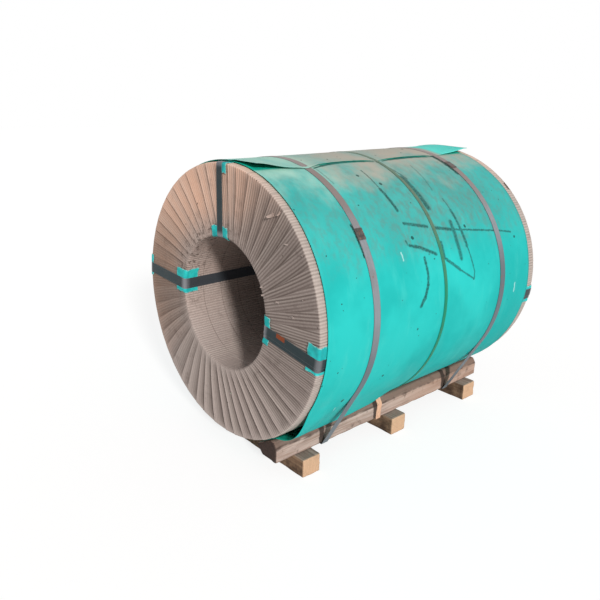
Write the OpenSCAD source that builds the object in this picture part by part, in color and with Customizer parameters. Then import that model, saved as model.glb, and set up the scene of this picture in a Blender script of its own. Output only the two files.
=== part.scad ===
// Wrapped steel coil on a timber skid.
// The coil's axis lies along Y with its front end towards -Y, and Z is up.
// The origin is on the floor, under the middle of the coil.

/* [Coil] */
// Width of the wound strip, which is the bare coil's length
strip_w = 1250; // [800:10:1600]
// Outside diameter of the bare coil
coil_od = 1020; // [900:10:1300]
// Diameter of the bare coil's bore
coil_id = 508; // [420:2:610]

/* [Paper wrap] */
// Thickness of the wrap on the barrel
wrap_barrel_t = 5; // [3:0.5:8]
// Thickness of the wrap over each end
wrap_end_t = 8; // [5:0.5:12]
// Thickness of the wrap in the bore
wrap_bore_t = 6; // [3:0.5:9]
// Radius of the turn over the outer rim
rim_round = 7; // [6:1:16]
// Radius of the turn into the bore
lip_round = 10; // [6:1:16]

/* [Eye straps] */
// Width of the top and right straps that pass through the bore
eye_strap_w = 32; // [19:1:40]
// Width of the left strap that passes through the bore
left_strap_w = 43; // [19:1:50]
// Thickness of the straps that pass through the bore
eye_strap_t = 0.8; // [0.5:0.1:1.2]
// Place of the top strap, in degrees up from the right
top_strap_angle = 90.5; // [80:0.5:110]
// Place of the left strap, in degrees up from the right
left_strap_angle = 176.5; // [150:0.5:200]
// Place of the right strap, in degrees up from the right
right_strap_angle = -9; // [-30:0.5:20]
// How far the doubled strap lies beside the strap under it
double_shift = 13; // [0:1:28]

/* [Corner pads] */
// Width of each pad, across its strap
pad_w = 90; // [50:1:140]
// Length of each leg of a pad, from the corner
pad_leg = 48; // [30:1:80]
// Thickness of a pad
pad_t = 0.6; // [0.4:0.1:1.2]

/* [Cover sheet] */
// Thickness of the cover sheet
sheet_t = 0.6; // [0.4:0.1:1]
// Bare wrap left in front of the sheet
sheet_front_inset = 29; // [10:1:80]
// Bare wrap left behind the sheet
sheet_back_inset = 53; // [10:1:80]
// Place of the outer layer's free edge, in degrees up from the right
seam_angle = 73; // [60:1:85]
// Arc that the sheet's two layers share at the top, in degrees
overlap_angle = 42; // [30:1:60]
// Where the front corner of the outer layer lifts off, in degrees
front_lift_angle = 86; // [80:1:95]
// Where the back corner of the outer layer lifts off, in degrees
back_lift_angle = 87; // [86:1:100]
// Where the front lower corner leaves the coil, in degrees
flare_angle = -30; // [-40:1:-20]
// How far the loose corner stands off the coil
flare_rise = 25; // [10:1:35]
// How far back the loose corner reaches
flare_l = 205; // [100:5:215]

/* [Bands] */
// Width of the two steel bands
band_w = 32; // [19:1:40]
// Thickness of the steel bands
band_t = 1; // [0.6:0.1:1.4]
// Distance of each steel band's middle from the nearer end of the wrap
band_inset = 255; // [200:5:300]
// Width of the narrow plastic band round the middle
mid_band_w = 17; // [10:1:25]
// Thickness of the plastic band
mid_band_t = 0.8; // [0.5:0.1:1.2]
// Length of each seal along its steel band
seal_l = 42; // [25:1:60]
// Thickness of a seal's metal
seal_t = 1.2; // [0.6:0.1:2]
// Place of the front seal, in degrees up from the right
front_seal_angle = 35; // [10:1:70]
// Place of the back seal, in degrees up from the right
back_seal_angle = 63; // [10:1:70]

/* [Runners] */
// Width of a runner
runner_w = 112; // [108:1:140]
// Height of a runner
runner_h = 80; // [70:1:110]
// How far each runner stops short of the wrap's ends
runner_inset = 14; // [0:1:60]
// How much further back the left runner starts
left_setback = 70; // [0:5:80]
// Height of the runner's top above the line where the coil touches it
seat_drop = 10; // [6:1:12]
// Width of the seat between that line and the runner's inner face
seat_inset = 64; // [50:1:70]
// Width of the slant along the runner's inner lower edge
bark_w = 36; // [0:1:45]
// Width of the slant along the runner's outer top edge
wane_w = 14; // [4:1:16]
// Height of the slant along the runner's outer top edge
wane_h = 22; // [6:1:30]
// Width of the tie round the right runner
tie_w = 27; // [15:1:40]
// Thickness of the tie
tie_t = 1; // [0.6:0.1:1.2]
// Distance of the tie's middle in front of the middle cross timber
tie_lead = 80; // [70:1:120]

/* [Cross timbers] */
// Width of a cross timber
cross_w = 86; // [60:1:120]
// Height of a cross timber
cross_h = 73; // [50:1:120]
// How far a cross timber reaches past the right runner
cross_right_overhang = 43; // [10:1:120]
// How far a cross timber reaches past the left runner
cross_left_overhang = 0; // [0:1:120]
// Distance of the front cross timber's middle from the wrap's front end
cross_front_inset = 150; // [60:1:180]
// Distance of the back cross timber's middle from the wrap's back end
cross_back_inset = 123; // [60:1:180]
// How far the middle cross timber lies behind the coil's middle
cross_mid_offset = 9; // [-30:1:30]
// Gap between the bands under the coil and the cross timbers
bed_clearance = 3; // [2:0.5:8]

/* [Hidden] */
$fn = 180;

// Slip between one layer and the next
layer_gap = 0.5;
// How far cutting shapes reach past what they cut
cut_past = 20;
// Degrees between the points along a thin strip's arc
arc_step = 2;

// Radii and length of the wrapped coil
coil_r = coil_od / 2;
wrap_r = coil_r + wrap_barrel_t;
bore_r = coil_id / 2 - wrap_bore_t;
wrap_l = strip_w + 2 * wrap_end_t;

// Layers over the wrap, each as its distance from the wrap's surface
pad_in = layer_gap;
strap_in = pad_in + pad_t + layer_gap;
double_in = strap_in + eye_strap_t + layer_gap;
double_out = double_in + eye_strap_t;
sheet_in_r = wrap_r + double_out + layer_gap;
sheet_r = sheet_in_r + sheet_t;
lap_r = sheet_r + sheet_t;
band_in_r = lap_r + layer_gap;
band_r = band_in_r + band_t;
seat_r = band_in_r + mid_band_t + layer_gap;

// Ends of the sheet along the axis, front positive
sheet_front = wrap_l / 2 - sheet_front_inset;
sheet_back = -wrap_l / 2 + sheet_back_inset;
band_front = wrap_l / 2 - band_inset;
band_back = -wrap_l / 2 + band_inset;

// The coil's seat on the runners: the angle from straight down to the line of touch
seat_rise = runner_h - seat_drop - bed_clearance;
seat_angle = acos(1 - seat_rise / seat_r);
axis_z = cross_h + bed_clearance + seat_r;
touch_x = seat_r * sin(seat_angle);
runner_in_x = touch_x - seat_inset;
runner_out_x = runner_in_x + runner_w;
seat_top_x = touch_x + seat_drop / tan(seat_angle);
seat_in_z = runner_h - seat_drop - seat_inset * tan(seat_angle);
runner_l = wrap_l - 2 * runner_inset;
cross_left_x = -runner_out_x - cross_left_overhang;
cross_right_x = runner_out_x + cross_right_overhang;

// Section of the right runner, counter-clockwise from its inner bottom corner
runner_section = [
    [runner_in_x + bark_w, 0],
    [runner_out_x, 0],
    [runner_out_x, runner_h - wane_h],
    [runner_out_x - wane_w, runner_h],
    [seat_top_x, runner_h],
    [runner_in_x, seat_in_z]];

steel_grey = [0.55, 0.56, 0.58];
kraft = [0.66, 0.56, 0.5];
turquoise = [0.24, 0.78, 0.74];
strap_blue = [0.24, 0.29, 0.33];
seal_dark = [0.3, 0.27, 0.27];
band_green = [0.1, 0.5, 0.32];
old_wood = [0.58, 0.46, 0.4];
new_wood = [0.72, 0.55, 0.4];
tie_tan = [0.7, 0.52, 0.38];

// Outward normal of the edge from p to q of a counter-clockwise outline
function edge_normal(p, q) = [q.y - p.y, p.x - q.x] / norm(q - p);

// A convex outline moved outwards by a distance
function grown(points, by) = [for (i = [0 : len(points) - 1])
    let (count = len(points),
        before = edge_normal(points[(i + count - 1) % count], points[i]),
        after = edge_normal(points[i], points[(i + 1) % count]))
    points[i] + by * (before + after) / (1 + before * after)];

// A point on a circle about the axis
function on_circle(radius, angle) = radius * [cos(angle), sin(angle)];

// Points along an arc about the axis
function arc(radius, from, to) = let (steps = ceil(abs(to - from) / arc_step))
    [for (i = [0 : steps]) on_circle(radius, from + (to - from) * i / steps)];

// Points of a full turn about the axis
function turn(radius) = arc(radius, arc_step, 360);

// End of a straight run that leaves the arc along its tangent, towards smaller angles
function tangent_end(radius, angle, length) = on_circle(radius, angle) + length * [sin(angle), -cos(angle)];

// Lays a shape on the coil's axis: its Z runs to the front, its X right and its Y up
module on_axis() {
    translate([0, 0, axis_z])
        rotate([90, 0, 0])
            children();
}

// Extrudes an outline along the axis between two places
module along_axis(from, to) {
    translate([0, 0, from])
        linear_extrude(to - from)
            children();
}

// Half section of the wrapped coil with rounded corners, grown by a distance
module wrap_profile(grow) {
    inner = bore_r - grow;
    outer = wrap_r + grow;
    half = wrap_l / 2 + grow;
    rim = rim_round + grow;
    lip = lip_round + grow;
    translate([inner + lip, -half])
        square([outer - rim - inner - lip, 2 * half]);
    translate([inner, lip - half])
        square([lip, 2 * (half - lip)]);
    translate([outer - rim, rim - half])
        square([rim, 2 * (half - rim)]);
    for (side = [-1, 1]) {
        translate([inner + lip, side * (half - lip)])
            circle(lip);
        translate([outer - rim, side * (half - rim)])
            circle(rim);
    }
}

// Layer that follows the wrap's surface, between two distances from it
module layer(from, to) {
    difference() {
        rotate_extrude()
            wrap_profile(to);
        rotate_extrude()
            wrap_profile(from);
    }
}

// Strap through the bore and back along the barrel
module eye_strap(angle, from, width, shift = 0) {
    on_axis()
        intersection() {
            layer(from, from + eye_strap_t);
            rotate(angle)
                translate([0, shift - width / 2, -wrap_l])
                    cube([coil_od, width, 2 * wrap_l]);
        }
}

// Bent pad between a strap and the wrap, at the rim or the bore, front (1) or back (-1)
module corner_pad(angle, at_rim, side) {
    near_x = at_rim ? wrap_r - pad_leg : bore_r - cut_past;
    far_x = at_rim ? wrap_r + cut_past : bore_r + pad_leg;
    depth = pad_leg + cut_past;
    color(turquoise)
        on_axis()
            intersection() {
                layer(pad_in, pad_in + pad_t);
                rotate(angle)
                    translate([near_x, -pad_w / 2, side * wrap_l / 2 - (side > 0 ? pad_leg : cut_past)])
                        cube([far_x - near_x, pad_w, depth]);
            }
}

// Sector of a ring between two angles
module ring_sector(inner, outer, from, to) {
    reach = 2 * outer;
    middle = (from + to) / 2;
    intersection() {
        difference() {
            circle(outer);
            circle(inner);
        }
        polygon([[0, 0], on_circle(reach, from), on_circle(reach, middle), on_circle(reach, to)]);
    }
}

// The sheet's outer layer from the end of the lap to where it lifts, and its straight loose tail
module lap_outline(lift) {
    lap_end = seam_angle + overlap_angle;
    tail = sheet_r * (lift - seam_angle) * PI / 180;
    polygon(concat(
        arc(lap_r, lap_end, lift),
        tail > 0 ? [tangent_end(lap_r, lift, tail), tangent_end(sheet_r, lift, tail)] : [],
        arc(sheet_r - sheet_t / 2, lift, lap_end)));
}

// Section of the sheet's front stretch, loose from the coil between its side and the right runner's top
module loose_outline(radius) {
    flare_end = atan2(cross_h + runner_h - axis_z, runner_out_x - wane_w);
    flare_arc = flare_angle - flare_end;
    polygon([for (i = [1 : 360 / arc_step])
        let (angle = i * arc_step - 180,
            share = max(0, min(1, (flare_angle - angle) / flare_arc)))
        on_circle(radius + flare_rise * sin(180 * share), angle)]);
}

// Loop over the coil and straight down its tangents to the runners' lower edges, grown by a distance
module band_outline(grow) {
    corner = [runner_out_x + layer_gap, cross_h - axis_z - layer_gap];
    leave = atan2(corner.y, corner.x) + acos(band_in_r / norm(corner));
    radius = band_in_r + grow;
    low = corner.y - grow;
    side = (radius - sin(leave) * low) / cos(leave);
    polygon(concat(arc(radius, leave, 180 - leave), [[-side, low], [side, low]]));
}

// Steel band round the coil and under both runners, at a place along the axis
module steel_band(place) {
    color(steel_grey)
        on_axis()
            along_axis(place - band_w / 2, place + band_w / 2)
                difference() {
                    band_outline(band_t);
                    band_outline(0);
                }
}

// Seal folded over a steel band: a top and two lips beside the band
module seal(place, angle) {
    half_arc = seal_l / band_r * 90 / PI;
    half_w = band_w / 2 + layer_gap + seal_t;
    top_r = band_r + layer_gap;
    color(seal_dark)
        on_axis()
            difference() {
                along_axis(place - half_w, place + half_w)
                    ring_sector(band_in_r, top_r + seal_t, angle - half_arc, angle + half_arc);
                along_axis(place - half_w + seal_t, place + half_w - seal_t)
                    circle(top_r);
            }
}

// Runner on the right (1) or left (-1)
module runner(side) {
    length = side > 0 ? runner_l : runner_l - left_setback;
    color(old_wood)
        translate([0, runner_l / 2, cross_h])
            rotate([90, 0, 0])
                linear_extrude(length)
                    mirror([side > 0 ? 0 : 1, 0])
                        polygon(runner_section);
}

// Cross timber at a place along Y
module cross_timber(place) {
    color(new_wood)
        translate([cross_left_x, place - cross_w / 2, 0])
            cube([cross_right_x - cross_left_x, cross_w, cross_h]);
}

module steel_coil() {
    color(steel_grey)
        on_axis()
            along_axis(-strip_w / 2, strip_w / 2)
                difference() {
                    circle(coil_r);
                    circle(coil_id / 2);
                }
}

module paper_wrap() {
    color(kraft)
        on_axis()
            difference() {
                rotate_extrude()
                    wrap_profile(0);
                along_axis(-strip_w / 2 - layer_gap, strip_w / 2 + layer_gap)
                    difference() {
                        circle(coil_r + layer_gap);
                        circle(coil_id / 2 - layer_gap);
                    }
            }
}

module cover_sheet() {
    front_loose = band_front + band_w;
    back_loose = band_back - band_w;
    color(turquoise)
        on_axis() {
            along_axis(sheet_back, sheet_front - flare_l)
                difference() {
                    polygon(turn(sheet_r));
                    polygon(turn(sheet_in_r));
                }
            along_axis(sheet_front - flare_l, sheet_front)
                difference() {
                    loose_outline(sheet_r);
                    loose_outline(sheet_in_r);
                }
            along_axis(back_loose, front_loose)
                lap_outline(seam_angle);
            along_axis(front_loose, sheet_front)
                lap_outline(front_lift_angle);
            along_axis(sheet_back, back_loose)
                lap_outline(back_lift_angle);
        }
}

module eye_strap_top() {
    color(strap_blue)
        eye_strap(top_strap_angle, strap_in, eye_strap_w);
}

module eye_strap_left() {
    color(strap_blue)
        eye_strap(left_strap_angle, strap_in, left_strap_w);
}

module eye_strap_right() {
    color(strap_blue)
        eye_strap(right_strap_angle, strap_in, eye_strap_w);
}

module eye_strap_right_double() {
    color(strap_blue)
        eye_strap(right_strap_angle, double_in, eye_strap_w, double_shift);
}

module plastic_band() {
    color(band_green)
        on_axis()
            along_axis(-mid_band_w / 2, mid_band_w / 2)
                difference() {
                    polygon(turn(band_in_r + mid_band_t));
                    polygon(turn(band_in_r));
                }
}

module runner_tie() {
    color(tie_tan)
        translate([0, cross_mid_offset - tie_lead + tie_w / 2, cross_h])
            rotate([90, 0, 0])
                linear_extrude(tie_w)
                    difference() {
                        polygon(grown(runner_section, layer_gap + tie_t));
                        polygon(grown(runner_section, layer_gap));
                    }
}

steel_coil();
paper_wrap();
cover_sheet();
eye_strap_top();
eye_strap_left();
eye_strap_right();
eye_strap_right_double();
corner_pad(top_strap_angle, true, 1);  // pad_top_front_rim
corner_pad(top_strap_angle, false, 1);  // pad_top_front_bore
corner_pad(top_strap_angle, true, -1);  // pad_top_back_rim
corner_pad(top_strap_angle, false, -1);  // pad_top_back_bore
corner_pad(left_strap_angle, true, 1);  // pad_left_front_rim
corner_pad(left_strap_angle, false, 1);  // pad_left_front_bore
corner_pad(left_strap_angle, true, -1);  // pad_left_back_rim
corner_pad(left_strap_angle, false, -1);  // pad_left_back_bore
corner_pad(right_strap_angle, true, 1);  // pad_right_front_rim
corner_pad(right_strap_angle, false, 1);  // pad_right_front_bore
corner_pad(right_strap_angle, true, -1);  // pad_right_back_rim
corner_pad(right_strap_angle, false, -1);  // pad_right_back_bore
steel_band(band_front);  // steel_band_front
steel_band(band_back);  // steel_band_back
plastic_band();
seal(band_front, front_seal_angle);  // seal_front
seal(band_back, back_seal_angle);  // seal_back
runner(-1);  // runner_left
runner(1);  // runner_right
runner_tie();
cross_timber(cross_front_inset - wrap_l / 2);  // cross_timber_front
cross_timber(cross_mid_offset);  // cross_timber_middle
cross_timber(wrap_l / 2 - cross_back_inset);  // cross_timber_back
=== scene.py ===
# %% [markdown]
# # A wrapped steel coil on a timber skid
# This lesson dresses a measured model of a packed steel coil. The model gives the sizes and the places.
# Blender then adds what the eye knows a real coil by: pleated paper, a dusty plastic sheet, dull straps
# and rough timber. Each step first says what the real thing is and why it is made in this way.

# %% Load the measured model
import math

import bpy
import numpy as np
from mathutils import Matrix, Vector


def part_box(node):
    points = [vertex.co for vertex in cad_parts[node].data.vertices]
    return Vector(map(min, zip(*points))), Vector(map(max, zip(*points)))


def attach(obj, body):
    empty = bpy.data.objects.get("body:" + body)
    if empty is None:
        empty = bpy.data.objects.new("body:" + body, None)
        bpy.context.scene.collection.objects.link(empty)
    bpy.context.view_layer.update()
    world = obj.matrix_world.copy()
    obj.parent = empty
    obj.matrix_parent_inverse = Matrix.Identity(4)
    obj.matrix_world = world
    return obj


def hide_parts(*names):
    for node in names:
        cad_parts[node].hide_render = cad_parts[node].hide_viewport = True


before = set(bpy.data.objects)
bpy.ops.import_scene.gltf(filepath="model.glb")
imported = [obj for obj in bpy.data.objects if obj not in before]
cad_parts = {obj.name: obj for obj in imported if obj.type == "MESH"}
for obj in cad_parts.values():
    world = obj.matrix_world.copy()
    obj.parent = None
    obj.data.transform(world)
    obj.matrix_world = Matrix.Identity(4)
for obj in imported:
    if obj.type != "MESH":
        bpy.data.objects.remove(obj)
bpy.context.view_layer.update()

# %% [markdown]
# The coil lies on its side, so its axis runs along Y and its front end looks to -Y. Almost every piece is
# placed by an angle round that axis and a distance along it. The radii are read from the measured nodes,
# so they needn't be typed twice.

# %% Read the coil's main sizes
MM = 0.001


def points_of(piece):
    """Vertices of a piece as an array of x, y, z."""
    flat = np.empty(len(piece.data.vertices) * 3)
    piece.data.vertices.foreach_get("co", flat)
    return flat.reshape(-1, 3)


def node_radii(name):
    """Smallest and largest distance of a node's vertices from the coil's axis."""
    points = points_of(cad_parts[name])
    radii = np.hypot(points[:, 0], points[:, 2] - AXIS_Z)
    return radii.min(), radii.max()


coil_low, coil_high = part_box("steel_coil")
AXIS_Z = (coil_low.z + coil_high.z) / 2
COIL_BORE_R, COIL_R = node_radii("steel_coil")
BORE_R, WRAP_R = node_radii("paper_wrap")
END_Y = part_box("paper_wrap")[1].y
COIL_END_Y = coil_high.y
print("axis", round(AXIS_Z, 4), "bore", round(BORE_R, 4), "barrel", round(WRAP_R, 4), "end", round(END_Y, 4))

# %% [markdown]
# ## Small helpers
# The same few moves come back with every piece: clear the selection, go in and out of edit mode, move the
# points, apply a modifier, and hand the finished piece over to the model. Writing them once keeps each
# step short.

# %% Helpers for modelling


def start_clean():
    """Leaves edit mode and deselects everything, so that operators act on the next piece alone."""
    if bpy.context.object and bpy.context.object.mode != "OBJECT":
        bpy.ops.object.mode_set(mode="OBJECT")
    bpy.ops.object.select_all(action="DESELECT")


def flat_grid(columns, rows):
    """Flat grid of faces: the piece, and how far along and across it each point lies, from 0 to 1."""
    start_clean()
    bpy.ops.mesh.primitive_grid_add(x_subdivisions=columns, y_subdivisions=rows, size=1)
    return bpy.context.object, points_of(bpy.context.object) + 0.5


def open_mesh():
    """Goes into edit mode with everything selected."""
    bpy.ops.object.mode_set(mode="EDIT")
    bpy.ops.mesh.select_all(action="SELECT")


def face_outwards():
    """Turns all normals outwards and leaves edit mode."""
    bpy.ops.mesh.select_all(action="SELECT")
    bpy.ops.mesh.normals_make_consistent(inside=False)
    bpy.ops.object.mode_set(mode="OBJECT")


def move_points(piece, points):
    """Gives a piece's vertices new places."""
    piece.data.vertices.foreach_set("co", np.ascontiguousarray(points, dtype=np.float32).ravel())
    piece.data.update()


def paint(piece, name, values):
    """Keeps a value for each vertex under a name that a material can read."""
    attribute = piece.data.attributes.new(name, "FLOAT", "POINT")
    attribute.data.foreach_set("value", np.ascontiguousarray(values, dtype=np.float32))


def apply_modifier(piece, kind, **settings):
    """Adds a modifier and applies it."""
    modifier = piece.modifiers.new(kind.lower(), kind)
    for name, value in settings.items():
        setattr(modifier, name, value)
    bpy.context.view_layer.objects.active = piece
    bpy.ops.object.modifier_apply(modifier=modifier.name)


def hand_over(piece, name, slot, material, *nodes):
    """Names a piece, gives it its finish, and lets it stand for measured nodes."""
    piece.name = name
    piece.data.name = name
    piece.data.materials.clear()
    piece.data.materials.append(material)
    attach(piece, "root")
    if nodes:
        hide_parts(*nodes)
    triangles = sum(len(face.vertices) - 2 for face in piece.data.polygons)
    print(name, triangles, "triangles")


# %% [markdown]
# A material is a small graph of nodes. The next helpers add one node each and return its output as a value.
# Values can be added and multiplied like numbers, and each such sum adds a node too, so a finish reads as a
# few short sums. A plain number is set on a socket, and a value is linked to it.

# %% Helpers for materials


class Value:
    """What a shader node gives out. A sum of values adds the node that works it out."""

    def __init__(self, socket):
        self.socket = socket

    def __add__(self, other):
        return calc("ADD", self, other)

    def __sub__(self, other):
        return calc("SUBTRACT", self, other)

    def __rsub__(self, other):
        return calc("SUBTRACT", other, self)

    def __mul__(self, other):
        return calc("MULTIPLY", self, other)

    def __truediv__(self, other):
        return calc("DIVIDE", self, other)

    def __abs__(self):
        return calc("ABSOLUTE", self)


def tree_of(*values):
    """The node tree that some values belong to."""
    return next(value.socket.id_data for value in values if isinstance(value, Value))


def values_of(sockets):
    """Output sockets as values by their names."""
    return {socket.name: Value(socket) for socket in sockets}


def feed(socket, value):
    """Links a value to a socket, or sets a plain number or colour on it."""
    if isinstance(value, Value):
        socket.id_data.links.new(value.socket, socket)
    elif value is not None:
        socket.default_value = value


def add_node(tree, kind, inputs, output=0, **settings):
    """Adds a node with its settings, and feeds its inputs by name or number: one output as a value."""
    node = tree.nodes.new("ShaderNode" + kind)
    for name, setting in settings.items():
        setattr(node, name, setting)
    for name, value in inputs.items():
        feed(node.inputs[name], value)
    return Value(node.outputs[output])


def colour(red, green, blue):
    """A colour in linear light, with full cover."""
    return (red, green, blue, 1)


def calc(operation, first, second=None, clamp=False):
    """One sum of two values."""
    inputs = {0: first, 1: second}
    return add_node(tree_of(first, second), "Math", inputs, operation=operation, use_clamp=clamp)


def vector_calc(operation, first, second=None, output="Vector"):
    """One sum of two vectors."""
    inputs = {0: first, 1: second}
    return add_node(tree_of(first, second), "VectorMath", inputs, output, operation=operation)


def spread(value, low, high, to_low=0.0, to_high=1.0):
    """Spreads a range of values softly over another range."""
    given = enumerate((value, low, high, to_low, to_high))
    return add_node(tree_of(value), "MapRange", dict(given), interpolation_type="SMOOTHSTEP")


def blend(share, first, second):
    """One colour laid over another by a share."""
    return add_node(tree_of(share), "Mix", {0: share, 6: first, 7: second}, 2, data_type="RGBA")


def place(tree):
    """The point on the piece, in metres."""
    return add_node(tree, "TexCoord", {}, "Object")


def unwrapped(tree):
    """The point in the piece's own flat map."""
    return add_node(tree, "TexCoord", {}, "UV")


def painted(tree, name):
    """A value that was kept for each vertex."""
    return add_node(tree, "Attribute", {}, "Fac", attribute_name=name)


def stretch(vector, x, y, z, shift=(0, 0, 0)):
    """A point with each of its directions scaled, and then shifted."""
    return add_node(tree_of(vector), "Mapping", {"Vector": vector, "Location": shift, "Scale": (x, y, z)})


def parts(vector):
    """The three numbers of a vector."""
    node = tree_of(vector).nodes.new("ShaderNodeSeparateXYZ")
    feed(node.inputs[0], vector)
    return [Value(socket) for socket in node.outputs]


def noise(vector, scale, detail=3.0, roughness=0.55, distortion=0.0, output="Fac"):
    """Soft cloudy values."""
    inputs = {"Vector": vector, "Scale": scale, "Detail": detail, "Roughness": roughness,
              "Distortion": distortion}
    return add_node(tree_of(vector), "TexNoise", inputs, output)


def relief(height, depth, strength=1.0, normal=None):
    """Fine bumps, as deep as said in metres."""
    inputs = {"Strength": strength, "Distance": depth, "Height": height, "Normal": normal}
    return add_node(tree_of(height), "Bump", inputs)


def new_tree(owner):
    """Empty shader node tree of a material or a world."""
    owner.use_nodes = True
    owner.node_tree.nodes.clear()
    return owner.node_tree


def finish(name):
    """New material with its main shader: the material, its tree and the shader's inputs."""
    material = bpy.data.materials.new(name)
    tree = new_tree(material)
    shader = tree.nodes.new("ShaderNodeBsdfPrincipled")
    out = tree.nodes.new("ShaderNodeOutputMaterial")
    tree.links.new(shader.outputs[0], out.inputs[0])
    return material, tree, shader.inputs


LOOKS = {"base": "Base Color", "roughness": "Roughness", "specular": "Specular IOR Level",
         "metallic": "Metallic", "normal": "Normal"}


def dress(shader, **looks):
    """Feeds the main shader's inputs."""
    for name, value in looks.items():
        feed(shader[LOOKS[name]], value)


def new_group(name, inputs, outputs):
    """Empty shader group: the group, its named inputs as values, and the sockets of its outputs."""
    group = bpy.data.node_groups.new(name, "ShaderNodeTree")
    for way, sockets in (("INPUT", inputs), ("OUTPUT", outputs)):
        for socket_name, kind in sockets:
            group.interface.new_socket(socket_name, in_out=way, socket_type=kind)
    given = values_of(group.nodes.new("NodeGroupInput").outputs)
    return group, given, group.nodes.new("NodeGroupOutput").inputs


def use(group, **values):
    """Places a shader group and feeds its inputs: its outputs as values by their names."""
    node = tree_of(*values.values()).nodes.new("ShaderNodeGroup")
    node.node_tree = group
    for name, value in values.items():
        feed(node.inputs[name], value)
    return values_of(node.outputs)


# %% [markdown]
# ## Camera, light and floor
# A camera is set first, because every later choice is judged through it. This one stands to the right of
# the front end, a little above the coil. The small shift moves the picture without tilting the view.

# %% Place the camera
CAMERA_AT = (1.7478, -1.8848, 1.3145)
CAMERA_AZIMUTH = 52.546
CAMERA_DOWN = 14.886
SENSOR_MM = 36
LENS_MM = 36.74
LENS_SHIFT = (0.1, -0.0583)

camera_data = bpy.data.cameras.new("camera")
camera_data.sensor_width = SENSOR_MM
camera_data.lens = LENS_MM
camera_data.shift_x, camera_data.shift_y = LENS_SHIFT
camera = bpy.data.objects.new("camera", camera_data)
camera.location = CAMERA_AT
camera.rotation_euler = (math.radians(90 - CAMERA_DOWN), 0, math.radians(CAMERA_AZIMUTH))
bpy.context.scene.collection.objects.link(camera)
bpy.context.scene.camera = camera
bpy.context.scene.view_settings.view_transform = "Standard"
print("camera at", CAMERA_AT, "lens", LENS_MM)

# %% [markdown]
# The light is soft and plain. One broad sun comes from the right and the front, low enough to reach into
# the bore and to rake over the pleats, which is what makes them readable. A pale sky fills the shadows.
# The floor and the sky look white wherever the camera sees them, also in a reflection, while the coil still
# gets only the plain light level. The floor is lit for half of its look, so it keeps the coil's shadow.

# %% Light the scene
SUN_FROM = (0.83, -0.37, 0.41)
SUN_STRENGTH = 2.6
SUN_ANGLE = 7
SUN_TINT = (1, 0.98, 0.95)
SKY_LEVEL = 0.42
FLOOR_SIZE = 60
FLOOR_TONE = 0.55
FLOOR_GLOW = 0.5
FLOOR_WHITE = 1.6
WHITE = colour(1, 1, 1)


def looked_at(tree):
    """1 where the camera sees a surface, straight on, in a reflection or through something clear."""
    path = values_of(tree.nodes.new("ShaderNodeLightPath").outputs)
    mirrored = calc("MAXIMUM", path["Is Glossy Ray"], path["Is Transmission Ray"])
    return calc("MAXIMUM", path["Is Camera Ray"], mirrored)


def two_looks(tree, out, plain, seen, share):
    """Sends a plain shader to a kind of output, mixed by a share with the one that the camera sees."""
    mixed = add_node(tree, "MixShader", {0: share, 1: plain, 2: seen})
    feed(tree.nodes.new("ShaderNodeOutput" + out).inputs[0], mixed)


sun_data = bpy.data.lights.new("sun", "SUN")
sun_data.energy = SUN_STRENGTH
sun_data.angle = math.radians(SUN_ANGLE)
sun_data.color = SUN_TINT
sun = bpy.data.objects.new("sun", sun_data)
sun_x, sun_y, sun_z = SUN_FROM
sun.rotation_euler = (math.atan2(math.hypot(sun_x, sun_y), sun_z), 0, math.atan2(sun_x, -sun_y))
bpy.context.scene.collection.objects.link(sun)

world = bpy.data.worlds.new("pale_sky")
bpy.context.scene.world = world
sky = new_tree(world)
sky_fill = add_node(sky, "Background", {"Color": WHITE, "Strength": SKY_LEVEL})
sky_white = add_node(sky, "Background", {"Color": WHITE})
two_looks(sky, "World", sky_fill, sky_white, looked_at(sky))

start_clean()
bpy.ops.mesh.primitive_plane_add(size=FLOOR_SIZE)
floor = bpy.context.object
floor.name = "floor"
floor_material = bpy.data.materials.new("white_floor")
floor_tree = new_tree(floor_material)
floor_matt = add_node(floor_tree, "BsdfDiffuse", {"Color": colour(FLOOR_TONE, FLOOR_TONE, FLOOR_TONE)})
floor_white = add_node(floor_tree, "Emission", {"Strength": FLOOR_WHITE})
two_looks(floor_tree, "Material", floor_matt, floor_white, looked_at(floor_tree) * FLOOR_GLOW)
floor.data.materials.append(floor_material)
print("sun from", SUN_FROM, "sky", SKY_LEVEL)

# %% [markdown]
# Three effects come back on several surfaces, so each is a shader group. Specks are the spots of dirt that
# every packed coil collects. Streaks are noise drawn out along one direction, as grain in wood or rolling
# marks in strapping. A stroke is one straight scuff from one point to another.

# %% Build the shared effects
FLOAT = "NodeSocketFloat"
VECTOR = "NodeSocketVector"
STREAK_ROUGHNESS = 0.6
STROKE_CORE = 0.35

SPECKS, given, made = new_group(
    "specks", [("Vector", VECTOR), ("Scale", FLOAT), ("Size", FLOAT), ("Cover", FLOAT)], [("Mask", FLOAT)])
speck_node = SPECKS.nodes.new("ShaderNodeTexVoronoi")
for socket_name in ("Vector", "Scale"):
    feed(speck_node.inputs[socket_name], given[socket_name])
speck = values_of(speck_node.outputs)
speck_pick, speck_size = parts(speck["Color"])[:2]
speck_spot = calc("LESS_THAN", speck["Distance"], speck_size * given["Size"])
feed(made["Mask"], speck_spot * calc("LESS_THAN", speck_pick, given["Cover"]))

STREAKS, given, made = new_group(
    "streaks", [("Vector", VECTOR), ("Scale", FLOAT), ("Detail", FLOAT)], [("Value", FLOAT)])
streak_cloud = noise(given["Vector"], given["Scale"], given["Detail"], STREAK_ROUGHNESS)
feed(made["Value"], spread(streak_cloud, 0.3, 0.7))

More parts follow.
